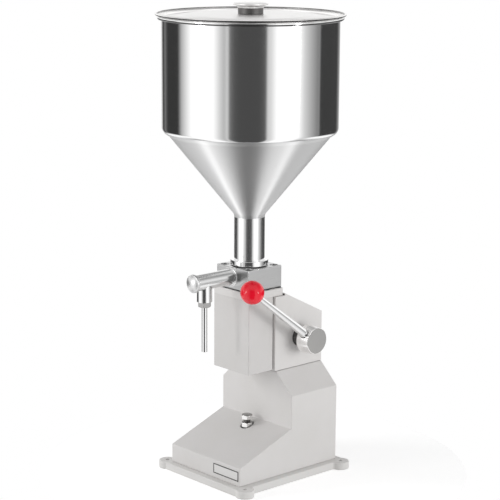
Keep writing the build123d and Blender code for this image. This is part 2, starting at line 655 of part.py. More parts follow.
def make_piston():
    """Piston with two grooves, bored for the rod's spigot and its screw."""
    body = turned([(0, PISTON_BOTTOM), (PISTON_R, PISTON_BOTTOM), (PISTON_R, PISTON_TOP), (0, PISTON_TOP)],
                  (0, PUMP_Y, 0))
    for z in ring_heights():
        body -= ring(PISTON_R + 1, RING_ROOT_R, RING_W, (0, PUMP_Y, z))
    body -= bar(4 + SLIP, PISTON_L, (0, PUMP_Y, PISTON_BOTTOM))
    return body - bar(7, 8.5, (0, PUMP_Y, PISTON_TOP - 8.5))


def make_piston_seals():
    """Two square-section seal rings in the piston's grooves."""
    return [ring(RING_R, RING_ROOT_R + RUN, RING_W - RUN, (0, PUMP_Y, z)) for z in ring_heights()]


def make_piston_screw():
    """Socket screw that holds the piston on the rod."""
    return cap_screw(4, 6.5, 8, 22, (0, PUMP_Y, PISTON_TOP - 8.5), (0, 0, -1))


def make_piston_rod():
    """Rod, crosshead with a window for the crank arm, and tail rod, machined in one."""
    top, bottom = PIN_Z + CROSSHEAD_HALF_H, PIN_Z - CROSSHEAD_HALF_H
    half_w, half_d = CROSSHEAD_W / 2, CROSSHEAD_D / 2
    body = block(-half_w, half_w, PUMP_Y - half_d, PUMP_Y + half_d, bottom, top)
    body = fillet(body.edges().filter_by(Axis.Z), 2)
    slot = ARM_T / 2 + SEAT
    body -= block(-slot, slot, PUMP_Y - half_d, PUMP_Y + half_d,
                  PIN_Z - CROSSHEAD_WINDOW_HALF_H, PIN_Z + CROSSHEAD_WINDOW_HALF_H)
    body += bar(ROD_R, PISTON_BOTTOM - top, (0, PUMP_Y, top))
    tail_end = COLUMN_BOTTOM + TAIL_END_GAP
    body += bar(TAIL_R, bottom - tail_end, (0, PUMP_Y, tail_end))
    body -= bar(PIN_R + RUN, CROSSHEAD_W, (-half_w, PUMP_Y, PIN_Z), (1, 0, 0))
    return body - bar(4 + SLIP, 16, (0, PUMP_Y, PISTON_BOTTOM - 16))


def make_crosshead_pin():
    """Pin through the crosshead, grooved at both ends."""
    reach = CROSSHEAD_W / 2 + 3
    pin = bar(PIN_R, 2 * reach, (-reach, PUMP_Y, PIN_Z), (1, 0, 0))
    for x in (-CROSSHEAD_W / 2 - 1.2, CROSSHEAD_W / 2 + 0.2):
        pin -= ring(PIN_R + 1, PIN_R - 1, 1.0, (x, PUMP_Y, PIN_Z), (1, 0, 0))
    return pin


def make_pin_clips():
    """Two retaining rings on the crosshead pin."""
    clips = []
    for x in (-CROSSHEAD_W / 2 - 1.2, CROSSHEAD_W / 2 + 0.2):
        clip = ring(PIN_R + 2.2, PIN_R - 1 + RUN, 1.0, (x, PUMP_Y, PIN_Z), (1, 0, 0))
        clips.append(clip - block(x - 1, x + 2, PUMP_Y - 2, PUMP_Y + 2, PIN_Z, PIN_Z + 10))
    return clips


# Handle

def on_shaft(solid, degrees):
    """Turns a solid drawn along -Y from the shaft up to an angle above horizontal."""
    return Pos(0, SHAFT_Y, SHAFT_Z) * Rot(-degrees, 0, 0) * solid


def make_handle_shaft():
    """Ground shaft with a keyway and a retaining-ring groove."""
    right = HUB_FACE_X - HUB_END_WALL
    shaft = bar(SHAFT_R, right - SHAFT_LEFT_X, (SHAFT_LEFT_X, SHAFT_Y, SHAFT_Z), (1, 0, 0))
    shaft -= block(-ARM_HUB_L / 2, ARM_HUB_L / 2, SHAFT_Y - KEY_W / 2, SHAFT_Y + KEY_W / 2,
                   SHAFT_Z + SHAFT_R - KEY_H / 2, SHAFT_Z + SHAFT_R + 1)
    groove_x = -(CHEEK_INNER_X + CHEEK_T) - 1.8
    return shaft - ring(SHAFT_R + 1, SHAFT_R - 1, 1.3, (groove_x, SHAFT_Y, SHAFT_Z), (1, 0, 0))


def make_shaft_clip():
    """Retaining ring at the left end of the shaft."""
    groove_x = -(CHEEK_INNER_X + CHEEK_T) - 1.8
    clip = ring(SHAFT_R + 3.5, SHAFT_R - 1 + RUN, 1.2, (groove_x, SHAFT_Y, SHAFT_Z), (1, 0, 0))
    return clip - block(groove_x - 1, groove_x + 3, SHAFT_Y - 3, SHAFT_Y + 3, SHAFT_Z, SHAFT_Z + 20)


def make_shaft_bushes():
    """Two bronze bushes, one in the bearing nose and one in the left cheek."""
    right = ring(BUSH_R, SHAFT_R + RUN, BUSH_L, (NOSE_X - BUSH_L, SHAFT_Y, SHAFT_Z), (1, 0, 0))
    left = ring(BUSH_R, SHAFT_R + RUN, CHEEK_T, (-(CHEEK_INNER_X + CHEEK_T), SHAFT_Y, SHAFT_Z), (1, 0, 0))
    return [right, left]


def make_hub_washer():
    """Thrust washer between the bearing nose and the hub."""
    gap = HUB_INNER_X - NOSE_X
    return ring(SHAFT_R + 5, SHAFT_R + RUN, gap - 2 * SLIP, (NOSE_X + SLIP, SHAFT_Y, SHAFT_Z), (1, 0, 0))


def make_crank_arm():
    """Keyed arm with a slotted end for the crosshead pin."""
    slot_out = ARM_REACH / math.cos(math.radians(ARM_REST_DEG))
    eye = slot_out + 0.5
    outline = (Circle(ARM_HUB_R) + Pos(-eye, 0) * Circle(ARM_EYE_R)
               + make_face(Polyline((0, ARM_HUB_R * 0.75), (-eye, ARM_EYE_R * 0.96), (-eye, -ARM_EYE_R * 0.96),
                                    (0, -ARM_HUB_R * 0.75), close=True)))
    side = Plane(origin=(-ARM_T / 2, 0, 0), x_dir=(0, 1, 0), z_dir=(1, 0, 0))
    arm = extrude(side * outline, ARM_T)
    arm += bar(ARM_HUB_R, ARM_HUB_L, (-ARM_HUB_L / 2, 0, 0), (1, 0, 0))
    half_gap = PIN_R + SLOT_CLEAR
    slot = SlotCenterToCenter(slot_out - ARM_REACH + 2 * SLOT_CLEAR, 2 * half_gap)
    arm -= extrude(side * Pos(-(slot_out + ARM_REACH) / 2, 0) * slot, ARM_T)
    arm = on_shaft(arm, ARM_REST_DEG)
    arm -= bar(SHAFT_R + RUN, ARM_HUB_L, (-ARM_HUB_L / 2, SHAFT_Y, SHAFT_Z), (1, 0, 0))
    return arm - block(-ARM_HUB_L / 2, ARM_HUB_L / 2, SHAFT_Y - KEY_W / 2 - RUN, SHAFT_Y + KEY_W / 2 + RUN,
                       SHAFT_Z, SHAFT_Z + SHAFT_R + KEY_H / 2 + RUN)


def make_arm_key():
    """Parallel key between the shaft and the crank arm."""
    base = SHAFT_Z + SHAFT_R - KEY_H / 2
    return block(-ARM_HUB_L / 2 + 0.5, ARM_HUB_L / 2 - 0.5, SHAFT_Y - KEY_W / 2 + 0.02, SHAFT_Y + KEY_W / 2 - 0.02,
                 base, base + KEY_H)


def make_handle_hub():
    """Tapered hub with a closed end face, a spot face for the lever and a set-screw hole."""
    hub = turned([(0, 0), (HUB_ROOT_R - 0.6, 0), (HUB_ROOT_R, 0.6), (HUB_R, HUB_L - 0.6), (HUB_R - 0.6, HUB_L),
                  (0, HUB_L)], (HUB_INNER_X, 0, 0), (1, 0, 0))
    lever_dir = (0, -1, 0)
    root = HUB_R - SPOT_FACE_DEPTH
    hub -= bar(SPOT_FACE_R, HUB_ROOT_R - root, (LEVER_X, -root, 0), lever_dir)
    hub -= bar(LEVER_THREAD_R + RUN, LEVER_THREAD_L + SEAT, (LEVER_X, -root + LEVER_THREAD_L + SEAT, 0), lever_dir)
    hub = on_shaft(hub, LEVER_REST_DEG)
    hub -= bar(SHAFT_R + RUN, HUB_L - HUB_END_WALL, (HUB_INNER_X, SHAFT_Y, SHAFT_Z), (1, 0, 0))
    screw_hole = bar(SET_SCREW_R + SLIP, HUB_ROOT_R, (LEVER_X, -SHAFT_R + 1, 0), lever_dir)
    return hub - on_shaft(screw_hole, LEVER_REST_DEG + SET_SCREW_DEG)


def make_hub_set_screw():
    """Socket set screw that locks the hub on the shaft."""
    screw = bar(SET_SCREW_R, 8, (LEVER_X, -SHAFT_R - RUN, 0), (0, -1, 0))
    screw -= hexagon(3, 3, (LEVER_X, -SHAFT_R - RUN - 5, 0), (0, -1, 0))
    return on_shaft(screw, LEVER_REST_DEG + SET_SCREW_DEG)


def make_lever_rod():
    """Tapered lever, threaded in the hub's spot face and in the ball."""
    root = HUB_R - SPOT_FACE_DEPTH
    ball_face = LEVER_REACH - math.sqrt(BALL_R ** 2 - BALL_FLAT_R ** 2)
    shoulder = LEVER_SHOULDER_REACH
    profile = [(0, root - LEVER_THREAD_L), (LEVER_THREAD_R, root - LEVER_THREAD_L), (LEVER_THREAD_R, shoulder),
               (LEVER_ROOT_R - 0.6, shoulder), (LEVER_ROOT_R, shoulder + 0.6), (LEVER_TIP_R + 0.6, ball_face),
               (LEVER_TIP_R, ball_face), (LEVER_TIP_R, LEVER_REACH + 4), (0, LEVER_REACH + 4)]
    return on_shaft(turned(profile, (LEVER_X, 0, 0), (0, -1, 0)), LEVER_REST_DEG)


def make_ball_knob():
    """Ball knob, faced off where the lever enters."""
    ball = Pos(LEVER_X, -LEVER_REACH, 0) * Sphere(BALL_R)
    face_y = -(LEVER_REACH - math.sqrt(BALL_R ** 2 - BALL_FLAT_R ** 2))
    ball -= bar(BALL_R, 10, (LEVER_X, face_y + 10, 0), (0, -1, 0))
    ball -= bar(LEVER_TIP_R + RUN, LEVER_REACH + 5, (LEVER_X, 0, 0), (0, -1, 0))
    return on_shaft(ball, LEVER_REST_DEG)


# Valve block

def make_block_gasket():
    """Thin gasket under the whole block."""
    sheet = Rectangle(BLOCK_W - 1, BLOCK_D - 1) - Circle(BORE_R)
    for x, dy in corners(BLOCK_SCREW_X, BLOCK_SCREW_DY):
        sheet -= Pos(x, dy) * Circle(BLOCK_SCREW_R + SLIP)
    return extrude(Pos(0, PUMP_Y, HEAD_TOP) * sheet, BLOCK_GASKET_T)


def make_valve_block():
    """Machined three-way block: inlet on top, cylinder below, discharge port in front."""
    half = BLOCK_W / 2
    body = block(-half, half, BLOCK_FRONT_Y, BLOCK_FRONT_Y + BLOCK_D, BLOCK_BOTTOM, BLOCK_TOP)
    body = chamfer(body.edges(), BLOCK_CHAMFER)
    body -= bar(CHAMBER_R, BLOCK_H - NIPPLE_SEAT_T, (0, PUMP_Y, BLOCK_BOTTOM))
    body -= bar(NIPPLE_SEAT_R + SLIP, NIPPLE_SEAT_T, (0, PUMP_Y, BLOCK_TOP - NIPPLE_SEAT_T))
    body -= bar(PORT_R, BLOCK_D / 2, (0, PUMP_Y, TUBE_Z), (0, -1, 0))
    body -= bar(TUBE_SPIGOT_R + SLIP, TUBE_SPIGOT_L, (0, BLOCK_FRONT_Y + TUBE_SPIGOT_L, TUBE_Z), (0, -1, 0))
    for x, y in BLOCK_SCREWS:
        body -= bar(BLOCK_SCREW_R + SLIP, BLOCK_H, (x, y, BLOCK_BOTTOM))
        body -= bar(7.2, 9, (x, y, BLOCK_TOP - 9))
    return body


def make_block_screws():
    """Four socket screws that clamp the block, its gasket and the cylinder to the head plate."""
    return [cap_screw(BLOCK_SCREW_R, 6.5, 8, BLOCK_H - 9 + BLOCK_GASKET_T + HEAD_PLATE_T - 1,
                      (x, y, BLOCK_TOP - 9), (0, 0, -1)) for x, y in BLOCK_SCREWS]


def make_inlet_nipple():
    """Threaded nipple pressed in the block; its lower face is the inlet valve's seat."""
    seat = BLOCK_TOP - NIPPLE_SEAT_T
    return turned([(INLET_BORE_R, seat), (NIPPLE_SEAT_R, seat), (NIPPLE_SEAT_R, BLOCK_TOP), (NIPPLE_R, BLOCK_TOP),
                   (NIPPLE_R, NECK_END - SEAT), (INLET_BORE_R + 4, NECK_END - SEAT), (INLET_BORE_R, BLOCK_TOP)],
                  (0, PUMP_Y, 0))


def poppet_top():
    """Top of the poppet's metal disc."""
    return BLOCK_TOP - NIPPLE_SEAT_T - SEAT - POPPET_SEAL_T


def make_inlet_valve():
    """Poppet with a guided stem; suction pulls it down off its seat."""
    top = poppet_top()
    return turned([(0, top - STEM_L - POPPET_T), (STEM_R, top - STEM_L - POPPET_T), (STEM_R, top - POPPET_T - 1),
                   (STEM_R + 1, top - POPPET_T), (POPPET_R, top - POPPET_T + 1), (POPPET_R, top),
                   (5, top), (5, top + POPPET_SEAL_T - 0.4), (0, top + POPPET_SEAL_T - 0.4)], (0, PUMP_Y, 0))


def make_inlet_valve_seal():
    """Rubber washer on the poppet."""
    return ring(POPPET_R - 0.5, 5, POPPET_SEAL_T, (0, PUMP_Y, poppet_top()))


def make_valve_guide():
    """Three-legged guide for the poppet's stem, screwed in the bottom of the chamber."""
    rim = ring(CHAMBER_R - 0.02, CHAMBER_R - GUIDE_RIM, GUIDE_H, (0, PUMP_Y, BLOCK_BOTTOM + 0.5))
    hub = bar(STEM_R + 3, GUIDE_H, (0, PUMP_Y, BLOCK_BOTTOM + 0.5))
    for turn in (30, 150, 270):
        leg = Pos(CHAMBER_R / 2, 0, 0) * Box(CHAMBER_R - GUIDE_RIM, 3, GUIDE_H)
        hub += Pos(0, PUMP_Y, BLOCK_BOTTOM + 0.5 + GUIDE_H / 2) * Rot(0, 0, turn) * leg
    return rim + hub - bar(STEM_R + RUN, GUIDE_H, (0, PUMP_Y, BLOCK_BOTTOM + 0.5))


def make_inlet_spring():
    """Coil spring between the guide and the poppet."""
    base = BLOCK_BOTTOM + 0.5 + GUIDE_H + 0.1
    length = poppet_top() - POPPET_T - 0.1 - base
    return spring(INLET_SPRING_R, INLET_WIRE_R, INLET_TURNS, length, (0, PUMP_Y, base), (0, 0, 1))


# Discharge tube and nozzle

def make_discharge_tube():
    """Turned tube with a flange, a valve seat and a branch for the nozzle."""
    start = BLOCK_FRONT_Y + TUBE_SPIGOT_L - 0.5
    flange = BLOCK_FRONT_Y - TUBE_FLANGE_T

    def at(y):
        """Distance of y from the tube's inner end."""
        return start - y

    tube = turned([(0, 0), (TUBE_SPIGOT_R, 0), (TUBE_SPIGOT_R, at(BLOCK_FRONT_Y)),
                   (TUBE_FLANGE_R, at(BLOCK_FRONT_Y)), (TUBE_FLANGE_R, at(flange + 1)),
                   (TUBE_FLANGE_R - 1, at(flange)), (TUBE_R, at(flange)), (TUBE_R, at(TUBE_END_Y)),
                   (0, at(TUBE_END_Y))], (0, start, TUBE_Z), (0, -1, 0))
    branch_bottom = TUBE_Z - BRANCH_DROP
    tube += bar(BRANCH_R, TUBE_Z - branch_bottom, (0, BRANCH_Y, branch_bottom))
    cone_l = TUBE_BORE_R - SEAT_BORE_R
    tube -= turned([(0, 0), (SEAT_BORE_R, 0), (SEAT_BORE_R, at(SEAT_Y)), (TUBE_BORE_R, at(SEAT_Y) + cone_l),
                    (TUBE_BORE_R, at(TUBE_END_Y)), (0, at(TUBE_END_Y))], (0, start, TUBE_Z), (0, -1, 0))
    seal_z = gland_seat()
    tube -= bar(GLAND_THREAD_R + SLIP, seal_z - branch_bottom, (0, BRANCH_Y, branch_bottom))
    return tube - bar(SEAT_BORE_R, TUBE_Z - branch_bottom, (0, BRANCH_Y, branch_bottom))


def gland_seat():
    """Height of the step in the branch that the nozzle's seal bears on."""
    return TUBE_Z - BRANCH_DROP + GLAND_THREAD_L + NOZZLE_FLANGE_T + NOZZLE_SEAL_T


def make_discharge_cap():
    """Domed end cap with a plug that closes the tube and backs the spring."""
    rim = TUBE_END_Y - CAP_SEAL_T
    arc = dome(CAP_R - 1.2, CAP_RIM_L, CAP_DOME_L)
    edge = Polyline((0, CAP_RIM_L + CAP_DOME_L), (0, -CAP_SEAL_T - CAP_PLUG_L),
                    (TUBE_BORE_R - SLIP, -CAP_SEAL_T - CAP_PLUG_L), (TUBE_BORE_R - SLIP, 0), (CAP_R - 0.8, 0),
                    (CAP_R, 0.8), (CAP_R, CAP_RIM_L - 1.2), (CAP_R - 1.2, CAP_RIM_L))
    face = Plane.XZ * make_face(Curve() + [arc, edge])
    return Plane(origin=(0, rim, TUBE_Z), z_dir=(0, -1, 0)) * revolve(face, Axis.Z)


def make_cap_seal():
    """Seal ring between the end cap and the tube."""
    return ring(TUBE_R, TUBE_BORE_R, CAP_SEAL_T, (0, TUBE_END_Y, TUBE_Z), (0, -1, 0))


def make_discharge_ball():
    """Ball of the discharge check valve, against its seat."""
    cone_touch = (BALL_VALVE_R + SEAT) / math.sin(math.radians(45))
    centre_y = SEAT_Y - cone_touch + SEAT_BORE_R
    return Pos(0, centre_y, TUBE_Z) * Sphere(BALL_VALVE_R)


def make_discharge_spring():
    """Coil spring between the ball and the end cap's plug."""
    cone_touch = (BALL_VALVE_R + SEAT) / math.sin(math.radians(45))
    centre_y = SEAT_Y - cone_touch + SEAT_BORE_R
    touch = math.sqrt((BALL_VALVE_R + SEAT) ** 2 - (DISCHARGE_SPRING_R - DISCHARGE_WIRE_R) ** 2)
    start = centre_y - touch - DISCHARGE_WIRE_R
    end = TUBE_END_Y + CAP_PLUG_L + 0.1
    return spring(DISCHARGE_SPRING_R, DISCHARGE_WIRE_R, DISCHARGE_TURNS, start - end, (0, start, TUBE_Z), (0, -1, 0))


def make_nozzle_gland():
    """Hexagon gland nut, screwed up into the branch."""
    bottom = TUBE_Z - BRANCH_DROP - GLAND_HEX_H
    nut = hexagon(GLAND_AF, GLAND_HEX_H, (0, BRANCH_Y, bottom), turn=10)
    nut += bar(GLAND_THREAD_R, GLAND_THREAD_L, (0, BRANCH_Y, bottom + GLAND_HEX_H))
    return nut - bar(NOZZLE_R + RUN, GLAND_HEX_H + GLAND_THREAD_L, (0, BRANCH_Y, bottom))


def make_nozzle_tube():
    """Nozzle: a plain tube with a flange that the gland holds."""
    flange = gland_seat() - NOZZLE_SEAL_T - NOZZLE_FLANGE_T
    top = flange + NOZZLE_FLANGE_T
    tip = TUBE_Z - NOZZLE_DROP
    return turned([(NOZZLE_BORE_R, tip), (NOZZLE_R, tip), (NOZZLE_R, flange), (NOZZLE_FLANGE_R, flange),
                   (NOZZLE_FLANGE_R, top), (NOZZLE_BORE_R, top)], (0, BRANCH_Y, 0))


def make_nozzle_seal():
    """Seal ring above the nozzle's flange."""
    return ring(NOZZLE_FLANGE_R, SEAT_BORE_R, NOZZLE_SEAL_T, (0, BRANCH_Y, gland_seat() - NOZZLE_SEAL_T))


# Hopper and lid

def make_neck_gasket():
    """Black gasket between the block and the hopper's collar."""
    return ring(NECK_GASKET_R, NIPPLE_SEAT_R, NECK_GASKET_T, (0, PUMP_Y, BLOCK_TOP))


def make_hopper_collar():
    """Collar welded on the neck, which screws on the nipple."""
    return turned([(NIPPLE_R + SLIP, COLLAR_BOTTOM), (COLLAR_R - 0.5, COLLAR_BOTTOM), (COLLAR_R, COLLAR_BOTTOM + 0.5),
                   (COLLAR_R, COLLAR_BOTTOM + COLLAR_H - 1), (COLLAR_R - 1, COLLAR_BOTTOM + COLLAR_H),
                   (NECK_R + RUN, COLLAR_BOTTOM + COLLAR_H), (NECK_R + RUN, NECK_END), (NIPPLE_R + SLIP, NECK_END)],
                  (0, PUMP_Y, 0))


def hopper_form():
    """Whole hopper shell, one sheet thick: neck, cone, turned-in foot, bowl and rolled rim."""
    bead_r = RIM_R - RIM_BEAD_R
    bead_z = RIM_Z - RIM_BEAD_R
    mid = HOPPER_T / 2
    centre = FilletPolyline((NECK_R - mid, NECK_END), (NECK_R - mid, CONE_BOTTOM),
                            (BOWL_R - BOWL_FOOT_IN - mid, CONE_TOP), (BOWL_R - mid, CONE_TOP + BOWL_FOOT_H),
                            (BOWL_R - mid, bead_z), radius=BOWL_BEND_R)
    wall = Plane.XZ * trace(centre, HOPPER_T)
    bead = Plane.XZ * (Pos(bead_r, bead_z) * Circle(RIM_BEAD_R))
    bridge = Plane.XZ * make_face(Polyline(
        (BOWL_R - HOPPER_T, bead_z), (BOWL_R - HOPPER_T, RIM_Z - 1), (BOWL_R - HOPPER_T + 1, RIM_Z), (bead_r, RIM_Z),
        (bead_r, bead_z), close=True))
    section = wall + bridge + bead
    return Pos(0, PUMP_Y, 0) * revolve(section, Axis.Z)


def hopper_slice(low, high):
    """The part of the hopper shell between two level weld seams."""
    return hopper_form() & bar(RIM_R + 10, high - low, (0, PUMP_Y, low))


def make_hopper_neck():
    """Neck tube, down to the collar."""
    return hopper_slice(NECK_END - 1, NECK_SEAM_Z)


def make_hopper_cone():
    """Cone, welded between the neck and the bowl's foot."""
    return hopper_slice(NECK_SEAM_Z, BOWL_SEAM_Z)


def make_hopper_bowl():
    """Rolled bowl with its rim turned over."""
    return hopper_slice(BOWL_SEAM_Z, RIM_Z + 1)


def lid_base():
    """Underside of the lid's flange, just clear of the hopper's rim."""
    return RIM_Z + SEAT


def make_lid():
    """Pressed lid: rolled edge, flange, locating groove and raised centre."""
    base = lid_base()
    mid = LID_T / 2
    edge_r = LID_R - LID_BEAD_R
    plateau = base + mid + LID_PLATEAU_RISE
    floor = base + mid - LID_SPIGOT_DROP
    line = FilletPolyline((edge_r, base + mid), (LID_SPIGOT_R, base + mid), (LID_SPIGOT_R - 1, floor),
                          (LID_GROOVE_R, floor), (LID_PLATEAU_R, plateau), (KNOB_SCREW_R + 1, plateau), radius=1.2)
    section = Plane.XZ * trace(line, LID_T)
    section += Plane.XZ * (Pos(edge_r, base + LID_BEAD_R) * Circle(LID_BEAD_R))
    lid = Pos(0, PUMP_Y, 0) * revolve(section, Axis.Z)
    centre = ring(KNOB_FOOT_R, KNOB_SCREW_R + SLIP, LID_T, (0, PUMP_Y, plateau - mid))
    return lid + centre


def knob_foot():
    """Top of the lid's raised centre."""
    return lid_base() + LID_T + LID_PLATEAU_RISE


def make_lid_knob():
    """Turned knob, waisted under a wide rounded cap."""
    flare_z, rim_z, shoulder_z = 8.5, 14.5, 17.6
    rest = Polyline((0, KNOB_H), (0, 0), (KNOB_FOOT_R - 0.5, 0), (KNOB_FOOT_R, 0.5), (KNOB_FOOT_R, flare_z))
    flare = ThreePointArc((KNOB_FOOT_R, flare_z), (KNOB_FOOT_R + 2.6, rim_z - 1.4), (KNOB_CAP_R - 0.8, rim_z))
    rim = ThreePointArc((KNOB_CAP_R - 0.8, rim_z), (KNOB_CAP_R, (rim_z + shoulder_z) / 2),
                        (KNOB_CAP_R - 1.2, shoulder_z))
    top = dome(KNOB_CAP_R - 1.2, shoulder_z, KNOB_H - shoulder_z)
    face = Plane.XZ * make_face(Curve() + [rest, flare, rim, top])
    knob = Pos(0, PUMP_Y, knob_foot()) * revolve(face, Axis.Z)
    return knob - bar(KNOB_SCREW_R + SLIP, KNOB_H * 0.6, (0, PUMP_Y, knob_foot()))


def make_knob_screw():
    """Screw from under the lid into the knob."""
    under = knob_foot() - LID_T
    head = turned([(0, 0), (6, 0), (6, -1.5), (4.5, -3), (0, -3)], (0, PUMP_Y, under))
    return head + bar(KNOB_SCREW_R, LID_T + 8, (0, PUMP_Y, under))


PARTS = {
    "base_plate": make_base_plate,
    "frame_bolts": make_frame_bolts,
    "lower_housing": make_lower_housing,
    "housing_screws": make_housing_screws,
    "label_plate": make_label_plate,
    "main_frame": make_main_frame,
    "dose_bolt": make_dose_bolt,
    "dose_lock_nut": make_dose_lock_nut,
    "head_column": make_head_column,
    "guide_bush": make_guide_bush,
    "head_plate": make_head_plate,
    "column_screws": make_column_screws,
    "head_plate_screws": make_head_plate_screws,
    "rear_cover": make_rear_cover,
    "cover_screws": make_cover_screws,
    "cylinder": make_cylinder,
    "piston": make_piston,
    "piston_seals": make_piston_seals,
    "piston_screw": make_piston_screw,
    "piston_rod": make_piston_rod,
    "crosshead_pin": make_crosshead_pin,
    "pin_clips": make_pin_clips,
    "handle_shaft": make_handle_shaft,
    "shaft_clip": make_shaft_clip,
    "shaft_bushes": make_shaft_bushes,
    "hub_washer": make_hub_washer,
    "crank_arm": make_crank_arm,
    "arm_key": make_arm_key,
    "handle_hub": make_handle_hub,
    "hub_set_screw": make_hub_set_screw,
    "lever_rod": make_lever_rod,
    "ball_knob": make_ball_knob,
    "block_gasket": make_block_gasket,
    "valve_block": make_valve_block,
    "block_screws": make_block_screws,
    "inlet_nipple": make_inlet_nipple,
    "inlet_valve": make_inlet_valve,
    "inlet_valve_seal": make_inlet_valve_seal,
    "valve_guide": make_valve_guide,
    "inlet_spring": make_inlet_spring,
    "discharge_tube": make_discharge_tube,
    "discharge_cap": make_discharge_cap,
    "cap_seal": make_cap_seal,
    "discharge_ball": make_discharge_ball,
    "discharge_spring": make_discharge_spring,
    "nozzle_gland": make_nozzle_gland,
    "nozzle_tube": make_nozzle_tube,
    "nozzle_seal": make_nozzle_seal,
    "neck_gasket": make_neck_gasket,
    "hopper_collar": make_hopper_collar,
    "hopper_neck": make_hopper_neck,
    "hopper_cone": make_hopper_cone,
    "hopper_bowl": make_hopper_bowl,
    "lid": make_lid,
    "lid_knob": make_lid_knob,
    "knob_screw": make_knob_screw,
}


def main():
    """Writes one STEP file for each piece or group of like pieces."""
    os.makedirs("parts", exist_ok=True)
    for name, make in PARTS.items():
        shape = make()
        if isinstance(shape, list):
            shape = Compound(children=shape)
        export_step(shape, f"parts/{name}.step")


main()
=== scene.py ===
"""Dressed scene of a hand-lever filling machine with a covered steel hopper.

The packed CAD model is the fixed frame. Turned and spun pieces are rebuilt here with fine meshes, every other
CAD node keeps its shape, and each piece gets the finish of the real material. Lengths are millimetres unless
a name says otherwise, +Z is up, the nozzle points to -Y and the lever is on the +X side.
"""

import json
import logging
import math
from dataclasses import dataclass
from enum import Enum
from typing import Callable, Iterable, Sequence

import bmesh
import bpy
from mathutils import Matrix, Vector

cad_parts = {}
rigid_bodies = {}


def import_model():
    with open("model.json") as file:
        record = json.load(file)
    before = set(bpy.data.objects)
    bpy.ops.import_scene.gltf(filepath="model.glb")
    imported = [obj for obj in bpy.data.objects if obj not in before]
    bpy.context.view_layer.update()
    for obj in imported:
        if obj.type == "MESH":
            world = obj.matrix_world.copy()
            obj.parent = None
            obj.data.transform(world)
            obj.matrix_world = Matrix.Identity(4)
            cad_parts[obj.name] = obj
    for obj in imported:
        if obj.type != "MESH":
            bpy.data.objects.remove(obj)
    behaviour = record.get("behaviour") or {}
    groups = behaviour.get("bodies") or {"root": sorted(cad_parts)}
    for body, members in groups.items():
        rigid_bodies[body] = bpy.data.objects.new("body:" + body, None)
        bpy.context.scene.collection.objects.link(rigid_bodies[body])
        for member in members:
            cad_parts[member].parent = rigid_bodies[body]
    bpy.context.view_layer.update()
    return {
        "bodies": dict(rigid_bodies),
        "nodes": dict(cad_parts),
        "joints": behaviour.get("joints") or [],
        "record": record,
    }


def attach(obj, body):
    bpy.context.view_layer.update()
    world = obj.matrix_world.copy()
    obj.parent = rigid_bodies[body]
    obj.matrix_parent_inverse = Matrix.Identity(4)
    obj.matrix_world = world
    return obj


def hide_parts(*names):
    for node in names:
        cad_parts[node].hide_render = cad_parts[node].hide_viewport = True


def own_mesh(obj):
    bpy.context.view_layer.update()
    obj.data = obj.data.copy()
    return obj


Point = tuple[float, float]
Corner = tuple[float, float, float]
Place = tuple[float, float, float]

LOG = logging.getLogger("filling_machine")
MM = 0.001
BASE_TOP = 12.5                    # top of the base plate, the datum of the heights below
PUMP_Y = -13.5                     # the hopper's and the pump's axis
PUMP_FOOT = (0.0, PUMP_Y, 0.0)     # where that axis meets the ground
UP = (0, 0, 1)
FORWARD = (0, -1, 0)
MIDDLE = (0, 0, 0.3)               # middle of the machine, in metres
WHITE = (1.0, 1.0, 1.0, 1.0)
NOISE_RANGE = (0.3, 0.7)           # holds most of a noise's values
BEVEL_SAMPLES = 6


# Shared helpers

def linear(code: str) -> tuple[float, float, float, float]:
    """Turn an sRGB colour into linear light.

    Args:
        code: The colour as "#RRGGBB".

    Returns:
        Red, green, blue and alpha for a colour socket.
    """
    channels = [int(code[i:i + 2], 16) / 255 for i in (1, 3, 5)]
    red, green, blue = [c / 12.92 if c <= 0.04045 else ((c + 0.055) / 1.055) ** 2.4 for c in channels]
    return red, green, blue, 1.0


def add_node(tree: bpy.types.NodeTree, kind: str, inputs: dict | None = None,
             **settings: object) -> bpy.types.Node:
    """Add a node with its settings and links.

    The colour mix has sockets of equal names, so its two colours are given by number, 6 and 7, and its result
    is output 2.

    Args:
        tree: The tree that gets the node.
        kind: Blender's type name of the node.
        inputs: Socket name or number to a value, or to an output socket that is linked to it.
        **settings: The node's own properties.

    Returns:
        The new node.
    """
    node = tree.nodes.new(kind)
    for name, value in settings.items():
        setattr(node, name, value)
    for name, value in (inputs or {}).items():
        if isinstance(value, bpy.types.NodeSocket):
            tree.links.new(value, node.inputs[name])
        else:
            node.inputs[name].default_value = value
    return node


def from_axis(place: Vector) -> Vector:
    """Level way from the pump's axis to a place, in metres."""
    return (place - Vector(PUMP_FOOT) * MM).xy


class Turning(Enum):
    """Axis that a piece was turned, spun or polished about."""

    X = 0
    Y = 1
    Z = 2

    def ring_sizes(self, width: float, length: float) -> Place:
        """Sizes along X, Y and Z of marks that are narrow along this axis and long round it."""
        return tuple(width if i == self.value else length for i in range(3))


# Finishes

